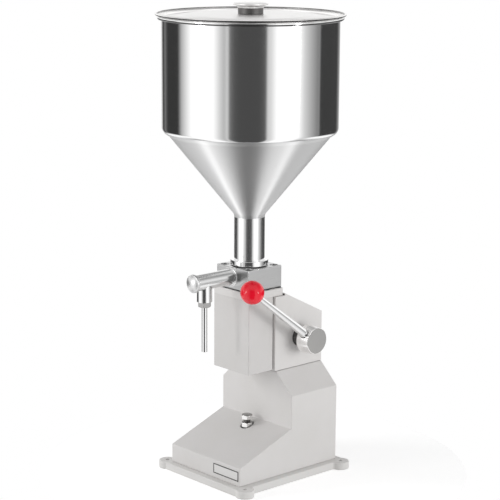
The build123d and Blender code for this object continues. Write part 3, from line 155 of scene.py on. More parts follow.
@dataclass(frozen=True)
class Finish:
    """A finish that makes its own material once; each kind below adds what is special to it."""

    name: str
    colour: str = "#CCCCCC"
    roughness: float = 0.5
    swing: float = 0.05        # how far the grain moves the roughness up and down
    grain_mm: float = 1.0      # size of the marks that show
    octaves: float = 3.0       # finer noise within the marks
    depth_mm: float = 0.0      # relief of the marks
    edge_mm: float = 0.0       # rounding that edges show; 0 leaves them as modelled
    metallic: float = 1.0

    def material(self) -> bpy.types.Material:
        """Return this finish's material, made on first use.

        Returns:
            The material.
        """
        known = bpy.data.materials.get(self.name)
        if known:
            return known
        material = bpy.data.materials.new(self.name)
        material.use_nodes = True
        tree = material.node_tree
        tree.nodes.clear()
        shader = add_node(tree, "ShaderNodeBsdfPrincipled")
        add_node(tree, "ShaderNodeOutputMaterial", {"Surface": shader.outputs["BSDF"]})
        self.surface(tree, shader)
        return material

    def surface(self, tree: bpy.types.NodeTree, shader: bpy.types.Node) -> None:
        """Colour the shader; the grain varies its roughness and its relief.

        Args:
            tree: The material's nodes.
            shader: The node that is set up.
        """
        shader.inputs["Metallic"].default_value = self.metallic
        self.paint(tree, shader)
        grain = self.pattern(tree, self.mark_sizes(), self.octaves)
        rough = add_node(tree, "ShaderNodeMapRange", {
            "Value": grain, "From Min": NOISE_RANGE[0], "From Max": NOISE_RANGE[1],
            "To Min": self.roughness - self.swing, "To Max": self.roughness + self.swing})
        tree.links.new(rough.outputs["Result"], shader.inputs["Roughness"])
        if not self.depth_mm and not self.edge_mm:
            return
        bump = add_node(tree, "ShaderNodeBump", {"Height": grain, "Distance": self.depth_mm * MM,
                                                 "Strength": 1.0})
        if self.edge_mm:
            edge = add_node(tree, "ShaderNodeBevel", {"Radius": self.edge_mm * MM}, samples=BEVEL_SAMPLES)
            tree.links.new(edge.outputs["Normal"], bump.inputs["Normal"])
        tree.links.new(bump.outputs["Normal"], shader.inputs["Normal"])

    def paint(self, tree: bpy.types.NodeTree, shader: bpy.types.Node) -> None:
        """Give the shader the finish's one colour."""
        shader.inputs["Base Color"].default_value = linear(self.colour)

    def mark_sizes(self) -> Sequence[float]:
        """Sizes of the marks along X, Y and Z."""
        return [self.grain_mm] * 3

    @staticmethod
    def pattern(tree: bpy.types.NodeTree, sizes: Sequence[float], octaves: float) -> bpy.types.NodeSocket:
        """Noise over the piece's own coordinates.

        Args:
            tree: The material's nodes.
            sizes: Sizes of the marks along X, Y and Z.
            octaves: Octaves of the noise.

        Returns:
            The noise value, about 0 to 1.
        """
        place = add_node(tree, "ShaderNodeTexCoord")
        stretched = add_node(tree, "ShaderNodeMapping", {"Vector": place.outputs["Object"],
                                                         "Scale": [1 / (size * MM) for size in sizes]})
        noise = add_node(tree, "ShaderNodeTexNoise", {"Vector": stretched.outputs["Vector"], "Scale": 1.0,
                                                      "Detail": octaves, "Roughness": 0.55})
        return noise.outputs["Fac"]


@dataclass(frozen=True)
class PowderCoat(Finish):
    """Baked coat on sheet or casting: low sheen, faint orange peel, edges rounded by the film."""

    colour: str = "#DCDAD9"
    shade: str = "#D8D6D4"
    swing: float = 0.04
    grain_mm: float = 1.6        # real orange peel is as coarse as this
    depth_mm: float = 0.010
    edge_mm: float = 0.8
    metallic: float = 0.0
    drift_mm: float = 71.43      # length over which the tone drifts

    def paint(self, tree: bpy.types.NodeTree, shader: bpy.types.Node) -> None:
        """Let the tone drift between two close shades.

        Args:
            tree: The material's nodes.
            shader: The node that is coloured.
        """
        drift = self.pattern(tree, [self.drift_mm] * 3, 2.0)
        tone = add_node(tree, "ShaderNodeValToRGB", {"Fac": drift})
        for element, spot, code in zip(tone.color_ramp.elements, NOISE_RANGE, (self.shade, self.colour)):
            element.position = spot
            element.color = linear(code)
        tree.links.new(tone.outputs["Color"], shader.inputs["Base Color"])


@dataclass(frozen=True)
class TurnedSteel(Finish):
    """Stainless steel, turned or spun and then polished: rings round its axis, mirror-like with soft edges.

    Real polishing lines are too fine to show, so they are drawn about ten times as wide.
    """

    axis: Turning = Turning.Z
    colour: str = "#E6E6E6"
    end_face_shade: str = ""        # darker colour of an end face: painted shade
    roughness: float = 0.13
    swing: float = 0.03
    grain_mm: float = 0.7
    depth_mm: float = 0.0006
    anisotropy: float = 0.0
    ring_mm: float = 333.3       # a ring hardly changes over this length of its way round
    face_limit: float = 0.9      # least normal along the axis that counts as an end face

    def paint(self, tree: bpy.types.NodeTree, shader: bpy.types.Node) -> None:
        """Give the end face its own colour where there is one.

        Args:
            tree: The material's nodes.
            shader: The node that is coloured.
        """
        super().paint(tree, shader)
        if not self.end_face_shade:
            return
        normal = add_node(tree, "ShaderNodeTexCoord").outputs["Normal"]
        along = add_node(tree, "ShaderNodeSeparateXYZ", {0: normal}).outputs[self.axis.value]
        face = add_node(tree, "ShaderNodeMath", {0: along, 1: self.face_limit}, operation="GREATER_THAN")
        tone = add_node(tree, "ShaderNodeMix", {"Factor": face.outputs[0], 6: linear(self.colour),
                                                7: linear(self.end_face_shade)}, data_type="RGBA")
        tree.links.new(tone.outputs[2], shader.inputs["Base Color"])

    def surface(self, tree: bpy.types.NodeTree, shader: bpy.types.Node) -> None:
        """Set the shader up; a satin finish also spreads its light across the rings.

        Args:
            tree: The material's nodes.
            shader: The node that is set up.
        """
        super().surface(tree, shader)
        if self.anisotropy:
            shader.inputs["Anisotropic"].default_value = self.anisotropy
            shader.inputs["Anisotropic Rotation"].default_value = 0.25     # a quarter turn, across the rings
            tangent = add_node(tree, "ShaderNodeTangent", direction_type="RADIAL", axis=self.axis.name)
            tree.links.new(tangent.outputs["Tangent"], shader.inputs["Tangent"])

    def mark_sizes(self) -> Sequence[float]:
        """Sizes of the rings along X, Y and Z."""
        return self.axis.ring_sizes(self.grain_mm, self.ring_mm)


@dataclass(frozen=True)
class BrushedMetal(Finish):
    """Flat bar or plate, ground or brushed with a belt: straight level scratches and a satin sheen.

    Real scratches are too fine to show, so they are drawn some five times as wide.
    """

    grain_mm: float = 0.35
    stroke_mm: float = 33.33    # length of a scratch

    def mark_sizes(self) -> Sequence[float]:
        """Sizes of the scratches along X, Y and Z."""
        return self.stroke_mm, self.stroke_mm, self.grain_mm


@dataclass(frozen=True)
class BorderedPlate(BrushedMetal):
    """Brushed plate with a painted border that follows its outline."""

    border_colour: str = "#3A393A"
    border_mm: float = 1.5
    width_mm: float = 61.0
    height_mm: float = 16.5

    def paint(self, tree: bpy.types.NodeTree, shader: bpy.types.Node) -> None:
        """Paint the border over the metal.

        Args:
            tree: The material's nodes.
            shader: The node that is coloured.
        """
        place = add_node(tree, "ShaderNodeTexCoord").outputs["Generated"]
        parts = add_node(tree, "ShaderNodeSeparateXYZ", {0: place})
        edges = []
        for axis, size in (("X", self.width_mm), ("Z", self.height_mm)):
            offset = add_node(tree, "ShaderNodeMath", {0: parts.outputs[axis], 1: 0.5}, operation="SUBTRACT")
            away = add_node(tree, "ShaderNodeMath", {0: offset.outputs[0]}, operation="ABSOLUTE")
            inner = 0.5 - self.border_mm / size
            edge = add_node(tree, "ShaderNodeMath", {0: away.outputs[0], 1: inner}, operation="GREATER_THAN")
            edges.append(edge.outputs[0])
        border = add_node(tree, "ShaderNodeMath", dict(enumerate(edges)), operation="MAXIMUM").outputs[0]
        tone = add_node(tree, "ShaderNodeMix", {"Factor": border, 6: linear(self.colour),
                                                7: linear(self.border_colour)}, data_type="RGBA")
        bare = add_node(tree, "ShaderNodeMath", {0: 1.0, 1: border}, operation="SUBTRACT")
        tree.links.new(tone.outputs[2], shader.inputs["Base Color"])
        tree.links.new(bare.outputs[0], shader.inputs["Metallic"])


@dataclass(frozen=True)
class MouldedPlastic(Finish):
    """Moulded phenolic, rubber or fluoropolymer: one colour through, with a faint mould texture."""

    swing: float = 0.03
    grain_mm: float = 0.5
    octaves: float = 2.0
    depth_mm: float = 0.004
    metallic: float = 0.0
    gloss: float = 0.5

    def surface(self, tree: bpy.types.NodeTree, shader: bpy.types.Node) -> None:
        """Set the shader up with the plastic's own gloss."""
        super().surface(tree, shader)
        shader.inputs["Specular IOR Level"].default_value = self.gloss


@dataclass(frozen=True)
class CastMetal(Finish):
    """Bead-blasted casting or pressed bronze inside the stand: dull, grainy metal.

    Real grit leaves finer marks; they are drawn some five times as wide to show.
    """

    swing: float = 0.08
    grain_mm: float = 1.2
    octaves: float = 4.0
    depth_mm: float = 0.03


# Powder coat on folded sheet: a warm pale grey that stays even, with soft bright edges
SHEET_COAT = PowderCoat("powder_coated_sheet")
# Enamel on a casting: a shade darker, with a coarser peel and rounder edges
CAST_COAT = PowderCoat("enamelled_casting", colour="#D3D1D0", shade="#CFCDCB", grain_mm=2.2, depth_mm=0.014,
                       edge_mm=1.0)
# The same enamel on the base plate, which looks the palest of all
BASE_COAT = PowderCoat("enamelled_base_casting", colour="#E2E1DF", shade="#DEDCDA", grain_mm=2.2,
                       depth_mm=0.014, edge_mm=1.0)
# Buffed spun steel: broad upright bands of white and black with crisp sides
POLISHED_BOWL = TurnedSteel("polished_spun_steel", roughness=0.1, swing=0.02)
# Brushed spun steel: a milky grey that spreads each light into a fan from the neck
SATIN_CONE = TurnedSteel("satin_spun_steel", colour="#EAEAEA", roughness=0.62, swing=0.02, grain_mm=0.6,
                         depth_mm=0.0, anisotropy=1.0)
# Brushed pressed steel: near white, with only a blurred trace of what is round it
SATIN_LID = TurnedSteel("satin_pressed_steel", colour="#F8F7F6", roughness=0.36, grain_mm=0.6, depth_mm=0.0)
# Polished tube at the neck: bands with softer sides than the bowl's
POLISHED_NECK = TurnedSteel("polished_neck_steel", roughness=0.21, swing=0.02)
# Polished tube along the discharge: long level streaks of light and dark
POLISHED_ALONG_Y = TurnedSteel("polished_tube_steel", axis=Turning.Y, roughness=0.16)
# Polished hub: a white rim round a flat grey end, whose darker colour is painted shade
POLISHED_ALONG_X = TurnedSteel("polished_hub_steel", axis=Turning.X, colour="#F8F7F6", end_face_shade="#CFCECC",
                               roughness=0.22, grain_mm=0.5, edge_mm=0.5)
# Polished bar: fine bright and dark lines along thin round pieces
POLISHED_BAR = TurnedSteel("polished_bar_steel", roughness=0.15, edge_mm=0.4)
# Polished taper of the lever: one bright line that narrows towards the ball
POLISHED_LEVER = TurnedSteel("polished_lever_steel", axis=Turning.Y, roughness=0.14)
# Turned end cap: a soft light patch on its dome
CAP_STEEL = TurnedSteel("turned_cap_steel", axis=Turning.Y, colour="#D2D2D2", roughness=0.38, grain_mm=0.5)
# Turned nut: darker flats, so the hexagon reads under the bright tube
GLAND_STEEL = TurnedSteel("turned_gland_steel", colour="#9B9A99", roughness=0.3, edge_mm=0.3)
# Turned stem under the knob, coloured dark grey as painted shade under the cap: a dark band between two pale
# pieces
KNOB_STEM_SHADE = TurnedSteel("knob_stem_painted_shade", colour="#706F6E", roughness=0.45, grain_mm=0.5)
# Rolled edge: painted shade, a dark colour on the bead's underside that draws a thin dark line where shade
# falls under it
ROLLED_EDGE_SHADE = TurnedSteel("rolled_edge_painted_shade", colour="#484747", roughness=0.2)
# Nickel on the stop bolt: sharp flats of white and black under a grey top, whose darker colour is painted
# shade
BOLT_PLATING = TurnedSteel("nickel_plated_bolt", colour="#E8E7E6", end_face_shade="#8E8D8C", roughness=0.14,
                           edge_mm=0.8)
# Cut thread, coloured dark as painted shade in its grooves, with thin glints on the crests
THREAD_SHADE = TurnedSteel("cut_thread_painted_shade", colour="#868482", roughness=0.4, grain_mm=0.4)
# Zinc plating: a cool, slightly blurred grey
ZINC_SCREW = TurnedSteel("zinc_plated_screw", colour="#C9CBCC", roughness=0.3, edge_mm=0.3)
# Blackened socket screws: dark discs on the bright block
SOCKET_SCREW = TurnedSteel("dark_socket_screw", colour="#7C7C7E", roughness=0.32, edge_mm=0.3)
# Ground bar stock: even satin faces with a wide bright line on each broken edge
GROUND_BLOCK = BrushedMetal("ground_block_steel", colour="#D0D0D0", roughness=0.325, swing=0.055,
                            depth_mm=0.001, edge_mm=2.2)
# Anodised aluminium with a black border: a bare bright plate in a dark outline
BARE_PLATE = BorderedPlate("anodised_aluminium_plate", colour="#CDCCCB", roughness=0.38, grain_mm=0.3)
# Bead-blasted aluminium, coloured dull dark grey as painted shade: its bearing nose beside the hub stands for
# the shade there, the rest lies behind the covers
CASTING_SHADE = CastMetal("blasted_casting_painted_shade", colour="#6B6B6A")
# Sintered bronze: a dull brown-gold ring round each shaft
BRONZE = CastMetal("sintered_bronze", colour="#B98A4E", roughness=0.42, depth_mm=0.01)
# Nitrile rubber: a matt black line between bright pieces
BLACK_RUBBER = MouldedPlastic("black_nitrile_rubber", colour="#1B1B1C", roughness=0.6)
# Fluoropolymer: a waxy white ring
WHITE_SEAL = MouldedPlastic("white_fluoropolymer", colour="#EDECE8", roughness=0.45)
# Polished phenolic: deep red with two small sharp glints
RED_PHENOLIC = MouldedPlastic("red_phenolic_ball", colour="#EC0C2A", roughness=0.12, depth_mm=0.0006,
                              gloss=0.45)


# Outlines of turned pieces, as (radius, height) in millimetres

def arc_points(centre: Point, radius: float, start: float, end: float, step: float = 7.5) -> list[Point]:
    """Points along an arc.

    Args:
        centre: Centre of the arc.
        radius: Its radius.
        start: First angle, in degrees from the radius direction.
        end: Last angle.
        step: Largest angle between two points.

    Returns:
        The points from start to end.
    """
    count = max(2, math.ceil(abs(end - start) / step))
    angles = [math.radians(start + (end - start) * i / count) for i in range(count + 1)]
    return [(centre[0] + radius * math.cos(t), centre[1] + radius * math.sin(t)) for t in angles]


def arc_through(first: Point, middle: Point, last: Point, step: float = 7.5) -> list[Point]:
    """Points along the arc through three places.

    Args:
        first: Start of the arc.
        middle: A place on it.
        last: Its end.
        step: Largest angle between two points, in degrees.

    Returns:
        The points from first to last.
    """
    (ax, ay), (bx, by), (cx, cy) = first, middle, last
    double = 2 * (ax * (by - cy) + bx * (cy - ay) + cx * (ay - by))
    a2, b2, c2 = ax * ax + ay * ay, bx * bx + by * by, cx * cx + cy * cy
    centre = ((a2 * (by - cy) + b2 * (cy - ay) + c2 * (ay - by)) / double,
              (a2 * (cx - bx) + b2 * (ax - cx) + c2 * (bx - ax)) / double)
    start = math.degrees(math.atan2(ay - centre[1], ax - centre[0]))
    end = math.degrees(math.atan2(cy - centre[1], cx - centre[0]))
    span = (end - start) % 360 if double > 0 else -((start - end) % 360)
    return arc_points(centre, math.dist(centre, first), start, start + span, step)


def dome_points(edge_r: float, rise: float, top: float, step: float) -> list[Point]:
    """Points of a spherical dome, from its edge to the axis.

    Args:
        edge_r: Radius of the dome's edge.
        rise: Height of the dome above its edge.
        top: Height of its highest point.
        step: Largest angle between two points, in degrees.

    Returns:
        The points, the last one on the axis.
    """
    radius = (rise ** 2 + edge_r ** 2) / (2 * rise)
    half = math.degrees(math.asin(edge_r / radius))
    return arc_points((0, top - radius), radius, 90 - half, 90, step)[:-1] + [(0, top)]


def at_height(line: Sequence[Point], height: float) -> Point:
    """Place where a rising line first passes a height.

    Args:
        line: The line's points.
        height: The height.

    Returns:
        The place on the line.
    """
    for (r0, h0), (r1, h1) in zip(line, line[1:]):
        if h0 <= height <= h1 and h1 > h0:
            return r0 + (r1 - r0) * (height - h0) / (h1 - h0), height
    raise ValueError(f"no place at height {height}")


def between(line: Sequence[Point], low: float, high: float) -> list[Point]:
    """Part of a rising line between two heights, with a point at each cut."""
    return [at_height(line, low)] + [p for p in line if low < p[1] < high] + [at_height(line, high)]


def rounded(corners: Sequence[Corner], closed: bool = True) -> list[Point]:
    """Polyline whose corners are rounded, with holding points beside each rounding.

    Args:
        corners: Each corner's radius, height and rounding.
        closed: True for a loop.

    Returns:
        The points of the outline.
    """
    largest_turn = math.radians(9)     # between two points of a rounding
    largest_share = 0.49               # of a side, for the rounding at one of its ends
    hold, room = 0.35, 1.0             # how far off a holding point stands, and the length that it asks for
    points: list[Point] = []
    count = len(corners)
    for i, (r, h, rounding) in enumerate(corners):
        here = Vector((r, h))
        before = Vector(corners[i - 1][:2]) - here
        after = Vector(corners[(i + 1) % count][:2]) - here
        if rounding <= 0 or (not closed and i in (0, count - 1)):
            points.append((r, h))
            continue
        a, b = before.normalized(), after.normalized()
        half = math.acos(max(-1.0, min(1.0, a.dot(b)))) / 2
        reach = min(rounding / math.tan(half), before.length * largest_share, after.length * largest_share)
        radius = reach * math.tan(half)
        centre = here + (a + b).normalized() * (radius / math.sin(half))
        first, last = here + a * reach - centre, here + b * reach - centre
        turn = first.angle_signed(last)
        steps = max(2, math.ceil(abs(turn) / largest_turn))
        if before.length > 2 * reach + room:
            points.append(tuple(here + a * (reach + min(hold, reach))))
        for k in range(steps + 1):
            t = -turn * k / steps
            points.append(tuple(centre + Vector((first.x * math.cos(t) - first.y * math.sin(t),
                                                 first.x * math.sin(t) + first.y * math.cos(t)))))
        if after.length > 2 * reach + room:
            points.append(tuple(here + b * (reach + min(hold, reach))))
    return points


def sheet(line: Sequence[Point], thickness: float) -> list[Point]:
    """Closed outline of a sheet whose middle follows a line.

    Args:
        line: Middle of the sheet.
        thickness: Thickness of the sheet.

    Returns:
        One side of the sheet and then the other, backwards.
    """
    sides: tuple[list[Point], list[Point]] = ([], [])
    for i, place in enumerate(line):
        ahead = Vector(line[min(i + 1, len(line) - 1)]) - Vector(line[max(i - 1, 0)])
        across = Vector((-ahead.y, ahead.x)).normalized() * thickness / 2
        sides[0].append(tuple(Vector(place) + across))
        sides[1].append(tuple(Vector(place) - across))
    return sides[0] + sides[1][::-1]


# Meshes

def circle_angles(steps: int) -> list[float]:
    """Angles of even steps round a circle, in radians."""
    return [2 * math.pi * i / steps for i in range(steps)]


def axis_frame(origin: Sequence[float], along: Sequence[float]) -> Matrix:
    """Frame in millimetres whose Z runs along an axis.

    Args:
        origin: Start of the axis.
        along: Its direction.

    Returns:
        Matrix from the axis frame to the object's frame.
    """
    z = Vector(along).normalized()
    x = Vector((1, 0, 0)) if abs(z.x) < 0.9 else Vector((0, 1, 0))
    x = (x - z * x.dot(z)).normalized()
    y = z.cross(x)
    return Matrix([(*parts, start) for *parts, start in zip(x, y, z, origin)] + [(0, 0, 0, 1)])


def add_rings(form: bmesh.types.BMesh, rings: Sequence[Sequence[Vector]], closed: bool) -> None:
    """Skin rings of points with faces.

    Args:
        form: The mesh that grows.
        rings: Rings of equal length, or of one point at a pole.
        closed: True to join the last ring to the first.
    """
    made = [[form.verts.new(v) for v in ring] for ring in rings]
    for low, high in zip(made, made[1:] + (made[:1] if closed else [])):
        count = max(len(low), len(high))
        for i in range(count):
            j = (i + 1) % count
            corners = [low[i % len(low)], low[j % len(low)], high[j % len(high)], high[i % len(high)]]
            distinct = list(dict.fromkeys(corners))
            if len(distinct) > 2:
                form.faces.new(distinct)


def lathe(form: bmesh.types.BMesh, outline: Sequence[Point], origin: Sequence[float], along: Sequence[float],
          steps: int = 128, closed: bool = True) -> None:
    """Turn an outline about an axis.

    Args:
        form: The mesh that grows.
        outline: Radius and height of each point.
        origin: Start of the axis, in millimetres.
        along: Direction of the axis.
        steps: Points round the axis.
        closed: True where the outline is a loop.
    """
    frame = axis_frame(origin, along)
    least_r = 1e-6
    rings = []
    for r, h in outline:
        places = [(r * math.cos(t), r * math.sin(t), h) for t in circle_angles(steps)]
        rings.append([frame @ Vector(p) * MM for p in (places if r >= least_r else [(0, 0, h)])])
    add_rings(form, rings, closed)


def hexagon_radius(across_flats: float, turn: float) -> float:
    """Radius of a hexagon's edge at an angle in radians from the middle of a flat."""
    return across_flats / 2 / math.cos((turn + math.pi / 6) % (math.pi / 3) - math.pi / 6)


def hexagon_block(form: bmesh.types.BMesh, across_flats: float, low: float, high: float,
                  origin: Sequence[float], turn: float, bore: float = 0.0) -> None:
    """Upright hexagonal nut or bolt head, its corners turned down at 30 degrees at both ends.

    Args:
        form: The mesh that grows.
        across_flats: Size of the hexagon.
        low: Height of the lower face above the origin.
        high: Height of the upper face above the origin.
        origin: A point on the upright axis.
        turn: Angle of a corner from X, in degrees.
        bore: Radius of a hole through it.
    """
    face_r = across_flats / 2 * 0.95     # the flat end is a little narrower than the flats
    slope = math.tan(math.radians(30))
    turns = circle_angles(96)
    base = Vector(origin)

    def ring(radius: Iterable[float], heights: Iterable[float]) -> list[Vector]:
        """One ring of the block, from its radius and height at each step."""
        return [(base + Vector((r * math.cos(t), r * math.sin(t), h))) * MM
                for t, r, h in zip(turns, radius, heights)]

    def level(radius: float, height: float) -> list[Vector]:
        """A round, level ring."""
        return ring([radius] * len(turns), [height] * len(turns))

    flat_turn = math.radians(turn) + math.pi / 6
    edge = [hexagon_radius(across_flats, t - flat_turn) for t in turns]
    drop = [max(0.0, r - face_r) * slope for r in edge]
    rings = [level(face_r, low), ring(edge, [low + d for d in drop]), ring(edge, [high - d for d in drop]),
             level(face_r, high)]
    if bore:
        add_rings(form, rings + [level(bore, high), level(bore, low)], True)
    else:
        poles = [[(base + Vector((0, 0, height))) * MM] for height in (low, high)]
        add_rings(form, [poles[0]] + rings + [poles[1]], False)


def thread(form: bmesh.types.BMesh, radius: float, pitch: float, depth: float, low: float, high: float,
           origin: Sequence[float]) -> None:
    """Upright screw thread with rounded crests, closed at both ends.

    Args:
        form: The mesh that grows.
        radius: Outer radius.
        pitch: Rise in a turn.
        depth: Depth of the thread.
        low: Height of the lower end above the origin.
        high: Height of the upper end above the origin.
        origin: A point on the upright axis.
    """
    steps, rows_per_turn = 40, 10
    crest = 0.8     # below 1 the crests are wider than the roots
    base = Vector(origin)
    rows = math.ceil((high - low) / pitch * rows_per_turn)
    rings = [[(base + Vector((0, 0, low))) * MM]]
    for row in range(rows + 1):
        h = low + (high - low) * row / rows
        ring = []
        for i, t in enumerate(circle_angles(steps)):
            phase = (h / pitch - i / steps) % 1.0
            r = radius - depth * (0.5 + 0.5 * math.cos(2 * math.pi * phase)) ** crest
            ring.append((base + Vector((r * math.cos(t), r * math.sin(t), h))) * MM)
        rings.append(ring)
    rings.append([(base + Vector((0, 0, high))) * MM])
    add_rings(form, rings, False)


@dataclass(frozen=True)
class Coil:
    """Open coil spring of round wire, closed at both ends, that a check valve shortens as it opens."""

    start: float        # its first end: a height, or Y where it lies level
    length: float       # over the wire
    turns: int
    mean_r: float       # of the wire's middle
    wire_r: float
    travel: float       # of the valve

    @property
    def keep(self) -> float:
        """Share of the length that is left when the valve is fully open."""
        return 1 - self.travel / self.length

    def wind(self, form: bmesh.types.BMesh, origin: Sequence[float], along: Sequence[float]) -> None:
        """Wind the spring.

        Args:
            form: The mesh that grows.
            origin: Start of the axis.
            along: Direction of the axis.
        """
        frame = axis_frame(origin, along)
        steps, sides = 32 * self.turns, 12
        rise = self.length - 2 * self.wire_r
        lead = math.atan2(rise, 2 * math.pi * self.mean_r * self.turns)
        rings = []
        for i in range(steps + 1):
            t = 2 * math.pi * self.turns * i / steps
            out = Vector((math.cos(t), math.sin(t), 0))
            up = Vector((math.sin(t) * math.sin(lead), -math.cos(t) * math.sin(lead), math.cos(lead)))
            centre = out * self.mean_r + Vector((0, 0, self.wire_r + rise * i / steps))
            rings.append([frame @ (centre + (out * math.cos(a) + up * math.sin(a)) * self.wire_r) * MM
                          for a in circle_angles(sides)])
        ends = [[sum(ring, Vector()) / sides] for ring in (rings[0], rings[-1])]
        add_rings(form, [ends[0]] + rings + [ends[1]], False)


class Bench:
    """Makes objects, puts them on their bodies and dresses CAD nodes."""

    def __init__(self, frame: dict) -> None:
        """Keep the loaded frame."""
        self.nodes: dict[str, bpy.types.Object] = frame["nodes"]

    def piece(self, name: str, form: bmesh.types.BMesh, finish: Finish, body: str, stands_for: Sequence[str],
              slot: str, sharp: float = 32.0) -> bpy.types.Object:
        """Turn a finished form into an object that rides on a body.

        Args:
            name: The object's name.
            form: Its mesh, freed here.
            finish: Its finish.
            body: The CAD body that it moves with.
            stands_for: The CAD nodes that it replaces.
            slot: The record's material slot.
            sharp: Edges bent by more than this many degrees stay sharp.

        Returns:
            The object.
        """
        bmesh.ops.recalc_face_normals(form, faces=form.faces)
        mesh = bpy.data.meshes.new(name)
        form.to_mesh(mesh)
        form.free()
        mesh.shade_smooth()
        mesh.set_sharp_from_angle(angle=math.radians(sharp))
        mesh.materials.append(finish.material())
        made = bpy.data.objects.new(name, mesh)
        bpy.context.scene.collection.objects.link(made)
        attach(made, body)
        if stands_for:
            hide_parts(*stands_for)
        LOG.info("%s: %d faces on %s", name, len(mesh.polygons), body)
        return made

    @staticmethod
    def second_finish(made: bpy.types.Object, finish: Finish,
                      takes: Callable[[Vector, Vector], bool]) -> None:
        """Give some faces of a piece another finish.

        Args:
            made: The piece.
            finish: The other finish.
            takes: Says from a face's centre and normal, in metres, if it gets the finish.
        """
        made.data.materials.append(finish.material())
        slot = len(made.data.materials) - 1
        for face in made.data.polygons:
            if takes(face.center, face.normal):
                face.material_index = slot

    def dress(self, finish: Finish, *names: str) -> None:
        """Give CAD nodes a finish; their shape stays as packed.

        Args:
            finish: The finish.
            *names: The nodes.
        """
        for name in names:
            node = self.nodes[name]
            if not node.material_slots:
                node.data.materials.append(None)
            for holder in node.material_slots:
                holder.material = finish.material()
            LOG.info("%s: CAD shape, %s", name, finish.name)


# Sub-assemblies

@dataclass
class Stand:
    """Base plate, folded housing, column, head plate and rear cover, with the cast frame inside."""

    bench: Bench

    def build(self) -> None:
        """Dress the stand's CAD nodes."""
        self.bench.dress(BASE_COAT, "base_plate")
        self.bench.dress(CAST_COAT, "head_column")
        self.bench.dress(SHEET_COAT, "lower_housing", "rear_cover", "head_plate")
        # the cast frame's dark colour is painted shade beside the hub
        self.bench.dress(CASTING_SHADE, "main_frame")
        self.bench.dress(ZINC_SCREW, "frame_bolts", "housing_screws", "column_screws", "head_plate_screws",
                         "cover_screws")
        self.bench.dress(BRONZE, "guide_bush")
        self.bench.dress(BARE_PLATE, "label_plate")


@dataclass
class DoseStop:
    """Hexagon bolt and lock nut that stand out of the sloping deck."""

    bench: Bench
    y: float = -16.5
    seat: float = BASE_TOP + 63.5
    across_flats: float = 18.0
    nut_height: float = 8.2
    nut_bore: float = 6.05
    waist: float = 5.2            # bare thread between the nut and the head
    head_height: float = 7.5
    below: float = 48.0           # length of thread under the nut's seat
    thread_r: float = 6.0
    pitch: float = 1.75
    thread_depth: float = 0.95
    turn: float = 18.0            # of a corner from X, in degrees

    def build(self) -> None:
        """Make the bolt and its nut."""
        head = self.nut_height + self.waist
        origin = (0.0, self.y, self.seat)
        bolt = bmesh.new()
        hexagon_block(bolt, self.across_flats, head, head + self.head_height, origin, self.turn)
        thread(bolt, self.thread_r, self.pitch, self.thread_depth, -self.below, head, origin)
        made = self.bench.piece("stop_bolt", bolt, BOLT_PLATING, "stroke_stop", ["dose_bolt"], "bright_steel")
        # the thread below the head is coloured dark: painted shade
        self.bench.second_finish(made, THREAD_SHADE, lambda centre, _: centre.z < (self.seat + head) * MM)
        nut = bmesh.new()
        hexagon_block(nut, self.across_flats, 0.0, self.nut_height, origin, self.turn, bore=self.nut_bore)
        self.bench.piece("stop_lock_nut", nut, BOLT_PLATING, "stand", ["dose_lock_nut"], "bright_steel")


@dataclass
class PumpWorks:
    """Cylinder, piston, rod and crank, hidden behind the column and the cover."""

    bench: Bench

    def build(self) -> None:
        """Dress the inner CAD nodes."""
        self.bench.dress(POLISHED_BAR, "cylinder", "piston", "piston_rod", "crosshead_pin", "handle_shaft")
        self.bench.dress(ZINC_SCREW, "piston_screw", "pin_clips", "shaft_clip", "arm_key", "crank_arm")
        self.bench.dress(WHITE_SEAL, "piston_seals")
        self.bench.dress(BRONZE, "shaft_bushes")


